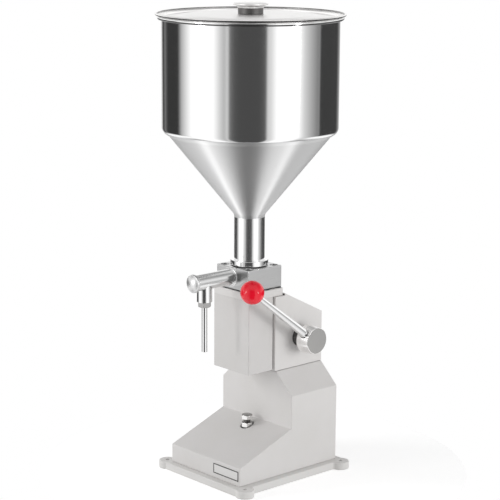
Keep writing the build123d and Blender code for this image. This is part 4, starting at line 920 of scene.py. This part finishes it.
@dataclass
class Handle:
    """Hub, tapered lever and ball."""

    bench: Bench
    shaft: Place = (78.0, 58.0, BASE_TOP + 217.5)
    rest_deg: float = 37.0        # rise of the lever in the photograph
    reach: float = 169.0          # from the shaft to the ball's middle
    root: float = 21.0            # where the taper starts
    root_r: float = 7.3
    root_round: float = 0.6
    spigot: float = 8.0           # thinner end inside the hub
    spigot_r: float = 5.0
    taper_end_r: float = 4.8
    tip: float = 8.0              # thinner end inside the ball
    tip_r: float = 4.3
    ball_r: float = 19.5
    ball_flat_r: float = 7.0
    ball_hole: float = 6.0
    ball_hole_r: float = 4.5
    break_edge: float = 0.4

    def build(self) -> None:
        """Make the lever and the ball, and dress the rest."""
        along = (0.0, -math.cos(math.radians(self.rest_deg)), math.sin(math.radians(self.rest_deg)))
        face = self.reach - math.sqrt(self.ball_r ** 2 - self.ball_flat_r ** 2)
        self.make_lever(along, face)
        self.make_ball(along, face)
        self.bench.dress(POLISHED_ALONG_X, "handle_hub", "hub_washer")
        self.bench.dress(ZINC_SCREW, "hub_set_screw")

    def make_lever(self, along: Place, face: float) -> None:
        """Turned taper from the hub to the ball.

        Args:
            along: Direction of the lever.
            face: Distance of the ball's flat from the shaft.
        """
        start, end = self.root - self.spigot, face + self.tip
        rod = bmesh.new()
        lathe(rod, rounded([(0, start, 0), (self.spigot_r, start, 0), (self.spigot_r, self.root, 0),
                            (self.root_r, self.root, self.root_round), (self.taper_end_r, face, 0),
                            (self.tip_r, face + self.break_edge, 0), (self.tip_r, end, 0), (0, end, 0)],
                           closed=False),
              self.shaft, along, steps=96, closed=False)
        self.bench.piece("lever", rod, POLISHED_LEVER, "handle", ["lever_rod"], "polished_steel")

    def make_ball(self, along: Place, face: float) -> None:
        """Ball with a small flat round its hole.

        Args:
            along: Direction of the lever.
            face: Distance of the flat from the shaft.
        """
        edge = math.degrees(math.asin(self.ball_flat_r / self.ball_r))
        skin = arc_points((0, self.reach), self.ball_r, edge - 90, 90, 3.0)
        ball = bmesh.new()
        lathe(ball, [(self.ball_hole_r, face + self.ball_hole), (self.ball_hole_r, face),
                     (self.ball_flat_r - self.break_edge, face)] + skin[:-1]
              + [(0, self.reach + self.ball_r)],
              self.shaft, along, steps=96, closed=False)
        made = self.bench.piece("ball", ball, RED_PHENOLIC, "handle", ["ball_knob"], "red_knob")
        made.visible_glossy = False    # the steel shows no red spot of the ball


@dataclass
class ValveGroup:
    """Three-way block with its screws and gasket, and the inlet valve inside."""

    bench: Bench
    spring: Coil = Coil(start=325.1, length=18.8, turns=5, mean_r=6.0, wire_r=0.6, travel=5.0)

    def build(self) -> None:
        """Make the inlet spring, which shortens towards its foot as the valve opens, and dress the rest."""
        form = bmesh.new()
        self.spring.wind(form, (0, PUMP_Y, self.spring.start), UP)
        made = self.bench.piece("inlet_coil", form, POLISHED_BAR, "stand", ["inlet_spring"], "bright_steel")
        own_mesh(made)
        self.bench.dress(GROUND_BLOCK, "valve_block")
        self.bench.dress(BLACK_RUBBER, "block_gasket", "inlet_valve_seal")
        self.bench.dress(SOCKET_SCREW, "block_screws")
        self.bench.dress(POLISHED_BAR, "inlet_nipple", "inlet_valve", "valve_guide")


@dataclass
class Discharge:
    """Discharge tube with its end cap, the gland nut and the nozzle."""

    bench: Bench
    axis_z: float = BASE_TOP + 328.5
    front_y: float = -50.5         # face of the block
    spigot: float = 7.5            # length of tube inside the block
    spigot_r: float = 12.0
    flange_r: float = 16.6
    flange_t: float = 6.0
    tube_r: float = 13.5
    bore_r: float = 9.0
    end_y: float = -131.5
    seat_y: float = -58.0          # the ball's seat
    seat_r: float = 6.0
    seat_cone: float = 3.0
    branch_y: float = -111.0
    branch_r: float = 12.6
    branch_bore: float = 8.1
    branch_socket: float = 12.0    # depth of that bore
    branch_straight: float = 16.0  # round length below the saddle
    branch_bottom: float = BASE_TOP + 295.2
    seal_t: float = 1.0
    cap_r: float = 15.1
    cap_edge: float = 1.2          # rounded edge round the dome
    cap_rim: float = 4.5           # height of the edge above the seal
    cap_dome: float = 4.8          # rise of the dome above that
    cap_plug: float = 4.0          # length inside the tube
    gland_flats: float = 19.3
    gland_height: float = 8.6
    gland_neck: float = 8.0        # length of the nut inside the branch
    gland_neck_r: float = 8.0
    gland_turn: float = 10.0
    nozzle_r: float = 4.65
    nozzle_bore: float = 3.5
    nozzle_tip: float = BASE_TOP + 211.0
    nozzle_flange_r: float = 7.4
    nozzle_flange_t: float = 2.0
    break_edge: float = 0.5
    fit: float = 0.05
    spring: Coil = Coil(start=-71.2, length=57.2, turns=9, mean_r=6.2, wire_r=0.7, travel=6.0)

    def build(self) -> None:
        """Make the turned pieces and dress the rest."""
        self.make_spring()
        self.make_tube()
        self.make_cap()
        self.make_nozzle()
        self.bench.dress(BLACK_RUBBER, "cap_seal", "nozzle_seal")
        self.bench.dress(POLISHED_BAR, "discharge_ball")

    def make_spring(self) -> None:
        """Coil spring that shortens towards the end cap as the ball lifts."""
        form = bmesh.new()
        self.spring.wind(form, (0, self.spring.start, self.axis_z), FORWARD)
        made = self.bench.piece("discharge_coil", form, POLISHED_BAR, "stand", ["discharge_spring"],
                                "bright_steel")
        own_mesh(made)

    def make_tube(self) -> None:
        """Turned tube with its flange, and the branch that meets it in a saddle."""
        start = self.front_y + self.spigot
        lip, end, seat = self.spigot + self.flange_t, start - self.end_y, start - self.seat_y
        tube = bmesh.new()
        lathe(tube, rounded([
            (self.seat_r, 0, 0), (self.spigot_r, 0, 0), (self.spigot_r, self.spigot, 0),
            (self.flange_r, self.spigot, 0), (self.flange_r, lip, 1.0), (self.tube_r, lip, 0.4),
            (self.tube_r, end, 0.3), (self.bore_r, end, 0), (self.bore_r, seat + self.seat_cone, 0),
            (self.seat_r, seat, 0)]), (0, start, self.axis_z), FORWARD, steps=144)
        self.add_branch(tube)
        self.bench.piece("outlet_tube", tube, POLISHED_ALONG_Y, "stand", ["discharge_tube"], "polished_steel",
                         sharp=40)

    def add_branch(self, tube: bmesh.types.BMesh) -> None:
        """Turn the branch that points down, its top ring laid just inside the tube's skin.

        Args:
            tube: The tube's mesh, which grows.
        """
        low, hold, sink = self.branch_bottom, 0.5, 0.3
        levels = [(self.branch_bore, low + self.branch_socket), (self.branch_bore, low),
                  (self.branch_r - self.break_edge, low), (self.branch_r, low + self.break_edge),
                  (self.branch_r, low + self.break_edge + hold), (self.branch_r, low + self.branch_straight)]
        turns = circle_angles(96)
        rings = [[Vector((r * math.cos(t), self.branch_y + r * math.sin(t), h)) * MM for t in turns]
                 for r, h in levels]
        saddle = []
        for t in turns:
            x, y = self.branch_r * math.cos(t), self.branch_y + self.branch_r * math.sin(t)
            saddle.append(Vector((x, y, self.axis_z - math.sqrt((self.tube_r - sink) ** 2 - x * x))) * MM)
        add_rings(tube, rings + [saddle], False)

    def make_cap(self) -> None:
        """Domed end cap on its seal."""
        plug_r, hold, bend = self.bore_r - 2 * self.fit, 0.3, 0.35
        shoulder = self.cap_rim - self.cap_edge
        dome = dome_points(self.cap_r - self.cap_edge, self.cap_dome, self.cap_rim + self.cap_dome, 3.0)
        cap = bmesh.new()
        lathe(cap, [(0, -self.cap_plug), (plug_r, -self.cap_plug), (plug_r, 0),
                    (self.cap_r - self.break_edge, 0), (self.cap_r, self.break_edge),
                    (self.cap_r, self.break_edge + hold), (self.cap_r, shoulder - hold),
                    (self.cap_r, shoulder), (self.cap_r - bend, self.cap_rim - bend)] + dome,
              (0, self.end_y - self.seal_t, self.axis_z), FORWARD, steps=144, closed=False)
        self.bench.piece("outlet_cap", cap, CAP_STEEL, "stand", ["discharge_cap"], "polished_steel", sharp=40)

    def make_nozzle(self) -> None:
        """Gland nut and the thin nozzle that it holds by its flange."""
        low, foot = self.branch_bottom, (0, self.branch_y, 0)
        hole, seat = self.nozzle_r + self.fit, low + self.gland_neck
        top = seat + self.nozzle_flange_t
        nut = bmesh.new()
        hexagon_block(nut, self.gland_flats, low - self.gland_height, low, foot, self.gland_turn, bore=hole)
        lathe(nut, [(hole, low), (self.gland_neck_r, low), (self.gland_neck_r, seat), (hole, seat)], foot, UP,
              steps=64)
        self.bench.piece("gland_nut", nut, GLAND_STEEL, "stand", ["nozzle_gland"], "polished_steel")
        tube = bmesh.new()
        lathe(tube, rounded([(self.nozzle_bore, self.nozzle_tip, 0.2), (self.nozzle_r, self.nozzle_tip, 0.3),
                             (self.nozzle_r, seat, 0), (self.nozzle_flange_r, seat, 0),
                             (self.nozzle_flange_r, top, 0), (self.nozzle_bore, top, 0)]), foot, UP, steps=72)
        self.bench.piece("nozzle", tube, POLISHED_BAR, "stand", ["nozzle_tube"], "polished_steel")


@dataclass
class Hopper:
    """Neck gasket, collar and the hopper of spun sheet: neck, cone, bowl and rolled rim."""

    bench: Bench
    thickness: float = 1.2
    collar_bottom: float = 357.5
    collar_r: float = 31.5
    collar_h: float = 8.5
    collar_bore: float = 20.1
    neck_r: float = 25.4
    neck_end: float = 362.0
    neck_seam: float = 437.3
    cone_bottom: float = 441.3
    cone_top: float = 573.5
    bowl_seam: float = 574.5
    bowl_r: float = 144.4
    foot_in: float = 11.0          # the bowl's turned-in foot
    foot_h: float = 7.0
    bend_r: float = 10.0
    polish_low: float = 580.5      # below this the foot is satin, like the cone
    rim_z: float = 766.1
    rim_r: float = 151.0
    rim_bend_r: float = 2.0
    bead_r: float = 3.2
    fit: float = 0.05

    def build(self) -> None:
        """Make the collar and the three welded pieces of the hopper."""
        self.make_collar()
        self.bench.dress(BLACK_RUBBER, "neck_gasket")
        line = self.middle()
        roll = arc_points((self.rim_r - self.bead_r, self.rim_z - self.bead_r),
                          self.bead_r - self.thickness / 2, 90, -200, 15)
        upper = [at_height(line, self.bowl_seam)] + [p for p in line if p[1] > self.bowl_seam] + roll[1:]
        self.make_shell("neck", "hopper_neck", between(line, self.neck_end, self.neck_seam), POLISHED_NECK,
                        "polished_steel")
        self.make_shell("cone", "hopper_cone", between(line, self.neck_seam, self.bowl_seam), SATIN_CONE,
                        "satin_steel")
        bowl = self.make_shell("bowl", "hopper_bowl", upper, POLISHED_BOWL, "polished_steel")
        self.finish_bowl(bowl)

    def make_collar(self) -> None:
        """Turned collar that screws on the block's nipple."""
        low, high, seat_r = self.collar_bottom, self.collar_bottom + self.collar_h, self.neck_r + self.fit
        collar = bmesh.new()
        lathe(collar, rounded([(self.collar_bore, low, 0), (self.collar_r, low, 0.5),
                               (self.collar_r, high, 0.9), (seat_r, high, 0), (seat_r, self.neck_end, 0),
                               (self.collar_bore, self.neck_end, 0)]), PUMP_FOOT, UP)
        self.bench.piece("collar", collar, POLISHED_BOWL, "stand", ["hopper_collar"], "polished_steel")

    def middle(self) -> list[Point]:
        """Middle of the sheet.

        Returns:
            The points from the neck's end to the top of the rolled rim.
        """
        mid = self.thickness / 2
        neck, wall, top = self.neck_r - mid, self.bowl_r - mid, self.rim_z - mid
        return rounded([(neck, self.neck_end, 0), (neck, self.cone_bottom, self.bend_r),
                        (wall - self.foot_in, self.cone_top, self.bend_r),
                        (wall, self.cone_top + self.foot_h, self.bend_r), (wall, top, self.rim_bend_r),
                        (self.rim_r - self.bead_r, top, 0)], closed=False)

    def make_shell(self, name: str, node: str, line: list[Point], finish: Finish,
                   slot: str) -> bpy.types.Object:
        """Spin one piece of the hopper.

        Args:
            name: The piece's name.
            node: The CAD node that it stands for.
            line: Middle of its sheet.
            finish: Its finish.
            slot: The record's material slot.

        Returns:
            The piece.
        """
        form = bmesh.new()
        lathe(form, sheet(line, self.thickness), PUMP_FOOT, UP, steps=192)
        return self.bench.piece(name, form, finish, "stand", [node], slot)

    def finish_bowl(self, bowl: bpy.types.Object) -> None:
        """Leave the foot and the inside of the bowl satin, and darken the underside of the rolled rim.

        Args:
            bowl: The bowl, polished all over.
        """
        bead_in = (self.rim_r - 2 * self.bead_r) * MM
        bead_low = (self.rim_z - 2.2 * self.bead_r) * MM     # a little under the bead
        looks_down = -0.2                                    # largest upright part of such a face's normal
        self.bench.second_finish(bowl, SATIN_CONE, lambda centre, _: centre.z < self.polish_low * MM)
        self.bench.second_finish(bowl, SATIN_LID, lambda centre, normal: (
            from_axis(centre).length < bead_in and from_axis(centre).dot(normal.xy) < 0))
        # the rim's downward faces are coloured dark: painted shade
        self.bench.second_finish(bowl, ROLLED_EDGE_SHADE, lambda centre, normal: (
            centre.z > bead_low and normal.z < looks_down and from_axis(centre).length > bead_in))


@dataclass
class Lid:
    """Pressed lid with a rolled edge, and its turned knob."""

    bench: Bench
    base: float = 766.4
    edge_r: float = 154.1
    bead_r: float = 1.8
    sheet_t: float = 1.0
    hole_r: float = 4.0
    step_r: float = 141.3
    step_drop: float = 4.0
    step_bend: float = 1.2
    groove_r: float = 130.3
    groove_bend: float = 3.0
    plateau_r: float = 101.3
    plateau_bend: float = 6.0
    rise: float = 1.0
    foot_r: float = 20.5        # the knob's stem
    flare_h: float = 8.5        # where the stem starts to flare
    cove_r: float = 23.1        # a place on the flare
    cove_h: float = 13.1
    under_r: float = 27.7       # where the flare ends, under the cap
    rim_h: float = 14.5
    cap_r: float = 28.5
    brow_r: float = 27.3        # where the dome starts
    shoulder_h: float = 17.6
    knob_h: float = 19.0
    shaded_stem: float = 10.5     # height of the stem that is coloured dark as painted shade

    def build(self) -> None:
        """Make the lid and the knob."""
        self.make_sheet()
        self.make_knob()
        self.bench.dress(ZINC_SCREW, "knob_screw")

    def make_sheet(self) -> None:
        """Pressed sheet: a raised middle, a groove and a step, with the edge rolled up over itself."""
        mid = self.sheet_t / 2
        bead = (self.edge_r - self.bead_r, self.base + self.bead_r)
        level, plateau, floor = self.base + mid, self.base + mid + self.rise, self.base + mid - self.step_drop
        line = rounded([(self.hole_r, plateau, 0), (self.plateau_r, plateau, self.plateau_bend),
                        (self.groove_r, floor, self.groove_bend), (self.step_r - 1, floor, self.step_bend),
                        (self.step_r, level, self.step_bend), (bead[0], level, 0)], closed=False)
        roll = arc_points(bead, self.bead_r - mid, -90, 200, 15)
        lid = bmesh.new()
        lathe(lid, sheet(line + roll[1:], self.sheet_t), PUMP_FOOT, UP, steps=192)
        made = self.bench.piece("lid_sheet", lid, SATIN_LID, "hopper_lid", ["lid"], "polished_steel")
        bead_in = (self.edge_r - 2 * self.bead_r) * MM
        out_limit, in_limit = 0.25, 0.8     # faces of the roll that look further up than this stay pale; the rest get painted shade
        # the underside of the rolled edge is coloured dark as painted shade
        self.bench.second_finish(made, ROLLED_EDGE_SHADE, lambda centre, normal: (
            from_axis(centre).length > bead_in
            and normal.z < (out_limit if from_axis(centre).dot(normal.xy) > 0 else in_limit)))

    def make_knob(self) -> None:
        """Turned knob: a stem that flares out under a low domed cap."""
        foot, break_edge = self.base + self.sheet_t + self.rise, 0.5
        cove = arc_through((self.foot_r, self.flare_h), (self.cove_r, self.cove_h),
                           (self.under_r, self.rim_h))
        edge = arc_through((self.under_r, self.rim_h), (self.cap_r, (self.rim_h + self.shoulder_h) / 2),
                           (self.brow_r, self.shoulder_h), 15)
        dome = dome_points(self.brow_r, self.knob_h - self.shoulder_h, self.knob_h, 1.5)
        knob = bmesh.new()
        lathe(knob, [(0, 0), (self.foot_r - break_edge, 0), (self.foot_r, break_edge)] + cove + edge[1:]
              + dome[1:], (*PUMP_FOOT[:2], foot), UP, steps=128, closed=False)
        made = self.bench.piece("knob", knob, SATIN_LID, "hopper_lid", ["lid_knob"], "polished_steel")
        stem_top = (foot + self.shaded_stem) * MM
        # the stem under the cap gets painted shade
        self.bench.second_finish(made, KNOB_STEM_SHADE, lambda centre, _: centre.z < stem_top)


# Studio

@dataclass(frozen=True)
class Lamp:
    """Soft lamp that looks at the middle of the machine."""

    name: str
    turn_deg: float          # to the camera's right, seen from the machine
    rise_deg: float          # above level
    reach: float             # from the middle, in metres
    size: Point              # width and height, in metres
    power: float             # in watts
    mirrored: bool = False   # True where glossy surfaces show it


@dataclass
class Studio:
    """Camera, pale floor, soft lamps and the panels that the steel mirrors.

    The camera is solved from the photograph. A panel is a list of (place, brightness) stops: `panels` by
    degrees to the camera's right, the two others by height, from -1 straight down to 1 straight up.
    """

    turn_deg: float = 47.8911556
    pitch_deg: float = 12.0544131
    roll_deg: float = 0.3273901
    place: Place = (2.0605346, -1.8744053, 0.9730212)
    lens: float = 123.5087
    sensor: float = 36.0
    floor_r: float = 0.36
    floor_glow: float = 0.5
    floor_grey: float = 0.8
    behind_deg: Point = (70, 95)             # where the panels give way to the back wall
    above_level: Point = (-0.03, 0.06)
    below_level: Point = (-0.26, -0.42)
    overhead: Point = (0.42, 0.75)
    lamps: tuple[Lamp, ...] = (
        Lamp("key_lamp", -95, 17, 1.1, (0.4, 0.4), 3.8),
        Lamp("side_lamp", 60, 4, 2.2, (1.2, 1.2), 12.0),
        Lamp("left_strip", -64, 7, 3.0, (0.5, 0.8), 11.0, mirrored=True),
        Lamp("right_strip", 59, 7, 3.0, (0.34, 0.8), 9.0, mirrored=True))
    panels: tuple[Point, ...] = (
        (-180, 0.95), (-161, 0.85), (-155, 0.12), (-148, 0.05), (-143, 0.23), (-137, 0.1), (-131, 0.045),
        (-106, 0.042), (-102.5, 0.24), (-99, 0.52), (-90, 0.9), (-81, 1.3), (-48, 1.3), (-40, 0.86),
        (-33, 0.55), (-28.6, 0.85), (-26.4, 0.2), (-20, 0.105), (-13, 0.082), (12, 0.082), (19.6, 0.12),
        (22.6, 0.83), (26, 0.83), (34, 1.3), (62, 1.3), (74, 0.78), (84, 0.52), (97, 0.25), (99.3, 0.36),
        (101.5, 0.055), (148, 0.06), (180, 0.75))
    back_wall: tuple[Point, ...] = (
        (-1.0, 0.3), (-0.75, 0.35), (-0.55, 1.25), (-0.38, 1.25), (-0.2, 1.2), (0.0, 1.2), (0.1, 1.25),
        (0.26, 1.25), (0.38, 0.95), (0.5, 0.62), (0.62, 0.34), (0.8, 0.5), (1.0, 0.7))
    sky_dome: tuple[Point, ...] = ((-1.0, 0.7), (0.0, 0.76), (0.45, 0.62), (1.0, 0.3))

    def build(self) -> None:
        """Set up the camera, the floor, the lamps and the world."""
        self.add_camera()
        self.add_floor()
        for lamp in self.lamps:
            self.add_lamp(lamp)
        self.add_world()

    def directions(self) -> tuple[Vector, Vector]:
        """Level directions from the object: to the camera, and to the camera's right."""
        turn = math.radians(self.turn_deg)
        return Vector((math.sin(turn), -math.cos(turn), 0)), Vector((math.cos(turn), math.sin(turn), 0))

    def add_camera(self) -> None:
        """Camera at the photograph's place, angle and lens."""
        level, right = self.directions()
        pitch, roll = math.radians(self.pitch_deg), math.radians(self.roll_deg)
        back = level * math.cos(pitch) + Vector(UP) * math.sin(pitch)
        up = back.cross(right)
        side = right * math.cos(roll) + up * math.sin(roll)
        head = up * math.cos(roll) - right * math.sin(roll)
        camera = bpy.data.cameras.new("camera")
        camera.lens = self.lens
        camera.sensor_width = self.sensor
        camera.clip_end = 20.0
        made = bpy.data.objects.new("camera", camera)
        made.matrix_world = Matrix([(*parts, start) for *parts, start in zip(side, head, back, self.place)]
                                   + [(0, 0, 0, 1)])
        bpy.context.scene.collection.objects.link(made)
        bpy.context.scene.camera = made

    def add_floor(self) -> None:
        """Round white table top; it keeps the shadow and is otherwise as white as the background."""
        form = bmesh.new()
        bmesh.ops.create_circle(form, cap_ends=True, segments=128, radius=self.floor_r)
        mesh = bpy.data.meshes.new("floor")
        form.to_mesh(mesh)
        form.free()
        material = bpy.data.materials.new("white_table")
        material.use_nodes = True
        tree = material.node_tree
        tree.nodes.clear()
        grey = self.floor_grey
        paint = add_node(tree, "ShaderNodeBsdfDiffuse", {"Color": (grey, grey, grey, 1.0)})
        glow = add_node(tree, "ShaderNodeEmission", {"Color": WHITE, "Strength": self.seen(tree)})
        both = add_node(tree, "ShaderNodeAddShader", {0: paint.outputs["BSDF"], 1: glow.outputs["Emission"]})
        add_node(tree, "ShaderNodeOutputMaterial", {"Surface": both.outputs["Shader"]})
        mesh.materials.append(material)
        floor = bpy.data.objects.new("floor", mesh)
        bpy.context.scene.collection.objects.link(floor)

    def seen(self, tree: bpy.types.NodeTree) -> bpy.types.NodeSocket:
        """Strength of the floor's glow, which only camera, mirror and glass rays see.

        Args:
            tree: The nodes to add to.

        Returns:
            The strength for the ray at hand.
        """
        rays = add_node(tree, "ShaderNodeLightPath").outputs
        either = add_node(tree, "ShaderNodeMath", {0: rays["Is Camera Ray"], 1: rays["Is Glossy Ray"]},
                          operation="MAXIMUM")
        any_of = add_node(tree, "ShaderNodeMath", {0: either.outputs[0], 1: rays["Is Transmission Ray"]},
                          operation="MAXIMUM")
        return add_node(tree, "ShaderNodeMath", {0: any_of.outputs[0], 1: self.floor_glow},
                        operation="MULTIPLY").outputs[0]

    @staticmethod
    def ramp(tree: bpy.types.NodeTree, value: bpy.types.NodeSocket,
             stops: Sequence[Point]) -> bpy.types.NodeSocket:
        """Brightness that follows a list of stops.

        Args:
            tree: The nodes to add to.
            value: The value that is looked up.
            stops: Value and brightness of each stop, in rising order.

        Returns:
            The brightness, as a grey.
        """
        low, high = stops[0][0], stops[-1][0]
        peak = max(bright for _, bright in stops)
        share = add_node(tree, "ShaderNodeMapRange", {"Value": value, "From Min": low, "From Max": high})
        made = add_node(tree, "ShaderNodeValToRGB", {"Fac": share.outputs["Result"]})
        elements = made.color_ramp.elements
        for i, (at, bright) in enumerate(stops):
            spot = (at - low) / (high - low)
            element = elements[0] if i == 0 else elements.new(spot) if i < len(stops) - 1 else elements[-1]
            element.position = spot
            element.color = (*[bright / peak] * 3, 1)
        return add_node(tree, "ShaderNodeVectorMath", {0: made.outputs["Color"], 1: [peak] * 3},
                        operation="MULTIPLY").outputs["Vector"]

    def add_lamp(self, lamp: Lamp) -> None:
        """Hang a lamp, turned to the middle of the machine.

        Args:
            lamp: The lamp.
        """
        light = bpy.data.lights.new(lamp.name, "AREA")
        light.shape = "RECTANGLE"
        light.size, light.size_y = lamp.size
        light.energy = lamp.power
        level, right = self.directions()
        turn, rise = math.radians(lamp.turn_deg), math.radians(lamp.rise_deg)
        flat = (level * math.cos(turn) + right * math.sin(turn)) * math.cos(rise)
        away = (flat + Vector(UP) * math.sin(rise)) * lamp.reach
        made = bpy.data.objects.new(lamp.name, light)
        made.location = Vector(MIDDLE) + away
        made.rotation_euler = away.to_track_quat("Z", "Y").to_euler()
        made.visible_glossy = lamp.mirrored
        made.visible_camera = False
        bpy.context.scene.collection.objects.link(made)

    def add_world(self) -> None:
        """White background, even light on matt surfaces, and upright white and black panels for the steel."""
        world = bpy.data.worlds.new("studio")
        bpy.context.scene.world = world
        world.use_nodes = True
        world.cycles.sampling_method = "NONE"
        tree = world.node_tree
        tree.nodes.clear()
        way = add_node(tree, "ShaderNodeTexCoord").outputs["Generated"]
        height = add_node(tree, "ShaderNodeSeparateXYZ", {0: way}).outputs["Z"]
        mirrored = self.mirrored_room(tree, way, height)
        rays = add_node(tree, "ShaderNodeLightPath").outputs
        shiny = add_node(tree, "ShaderNodeMath", {0: rays["Is Glossy Ray"], 1: rays["Is Transmission Ray"]},
                         operation="MAXIMUM").outputs[0]
        colour = self.ramp(tree, height, self.sky_dome)
        for share, over in ((shiny, mirrored), (rays["Is Camera Ray"], WHITE)):
            colour = add_node(tree, "ShaderNodeMix", {"Factor": share, 6: colour, 7: over},
                              data_type="RGBA").outputs[2]
        light = add_node(tree, "ShaderNodeBackground", {"Color": colour, "Strength": 1.0})
        add_node(tree, "ShaderNodeOutputWorld", {"Surface": light.outputs["Background"]})

    def mirrored_room(self, tree: bpy.types.NodeTree, way: bpy.types.NodeSocket,
                      height: bpy.types.NodeSocket) -> bpy.types.NodeSocket:
        """What the steel mirrors: the panels, the wall behind the machine and the white cloth overhead.

        Args:
            tree: The world's nodes.
            way: Direction of the ray.
            height: Its upright part.

        Returns:
            The colour in that direction.
        """
        ahead, aside = [add_node(tree, "ShaderNodeVectorMath", {0: way, 1: axis}, operation="DOT_PRODUCT")
                        .outputs["Value"] for axis in self.directions()]
        angle = add_node(tree, "ShaderNodeMath", {0: aside, 1: ahead}, operation="ARCTAN2").outputs[0]
        turn = add_node(tree, "ShaderNodeMath", {0: angle, 1: math.degrees(1)},
                        operation="MULTIPLY").outputs[0]
        away = add_node(tree, "ShaderNodeMath", {0: turn}, operation="ABSOLUTE").outputs[0]
        behind, above, below, high = [
            add_node(tree, "ShaderNodeMapRange", {"Value": value, "From Min": start, "From Max": end},
                     interpolation_type="SMOOTHSTEP").outputs["Result"]
            for value, (start, end) in ((away, self.behind_deg), (height, self.above_level),
                                        (height, self.below_level), (height, self.overhead))]
        off_level = add_node(tree, "ShaderNodeMath", {0: above, 1: below}, operation="MAXIMUM").outputs[0]
        wall = add_node(tree, "ShaderNodeMath", {0: behind, 1: off_level}, operation="MULTIPLY").outputs[0]
        before = add_node(tree, "ShaderNodeMath", {0: 1.0, 1: behind}, operation="SUBTRACT").outputs[0]
        cloth = add_node(tree, "ShaderNodeMath", {0: high, 1: before}, operation="MULTIPLY").outputs[0]
        colour = self.ramp(tree, turn, self.panels)
        for share, over in ((wall, self.ramp(tree, height, self.back_wall)), (cloth, WHITE)):
            colour = add_node(tree, "ShaderNodeMix", {"Factor": share, 6: colour, 7: over},
                              data_type="RGBA").outputs[2]
        return colour


def main() -> None:
    """Load the frame, build the machine and the studio, and note the sizes."""
    logging.basicConfig(level=logging.INFO, format="%(message)s")
    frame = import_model()
    bench = Bench(frame)
    for assembly in (Stand, DoseStop, PumpWorks, Handle, ValveGroup, Discharge, Hopper, Lid):
        LOG.info("%s", assembly.__doc__)
        assembly(bench).build()
    Studio().build()
    bpy.context.scene.view_settings.view_transform = "Standard"


if __name__ == "__main__":
    main()
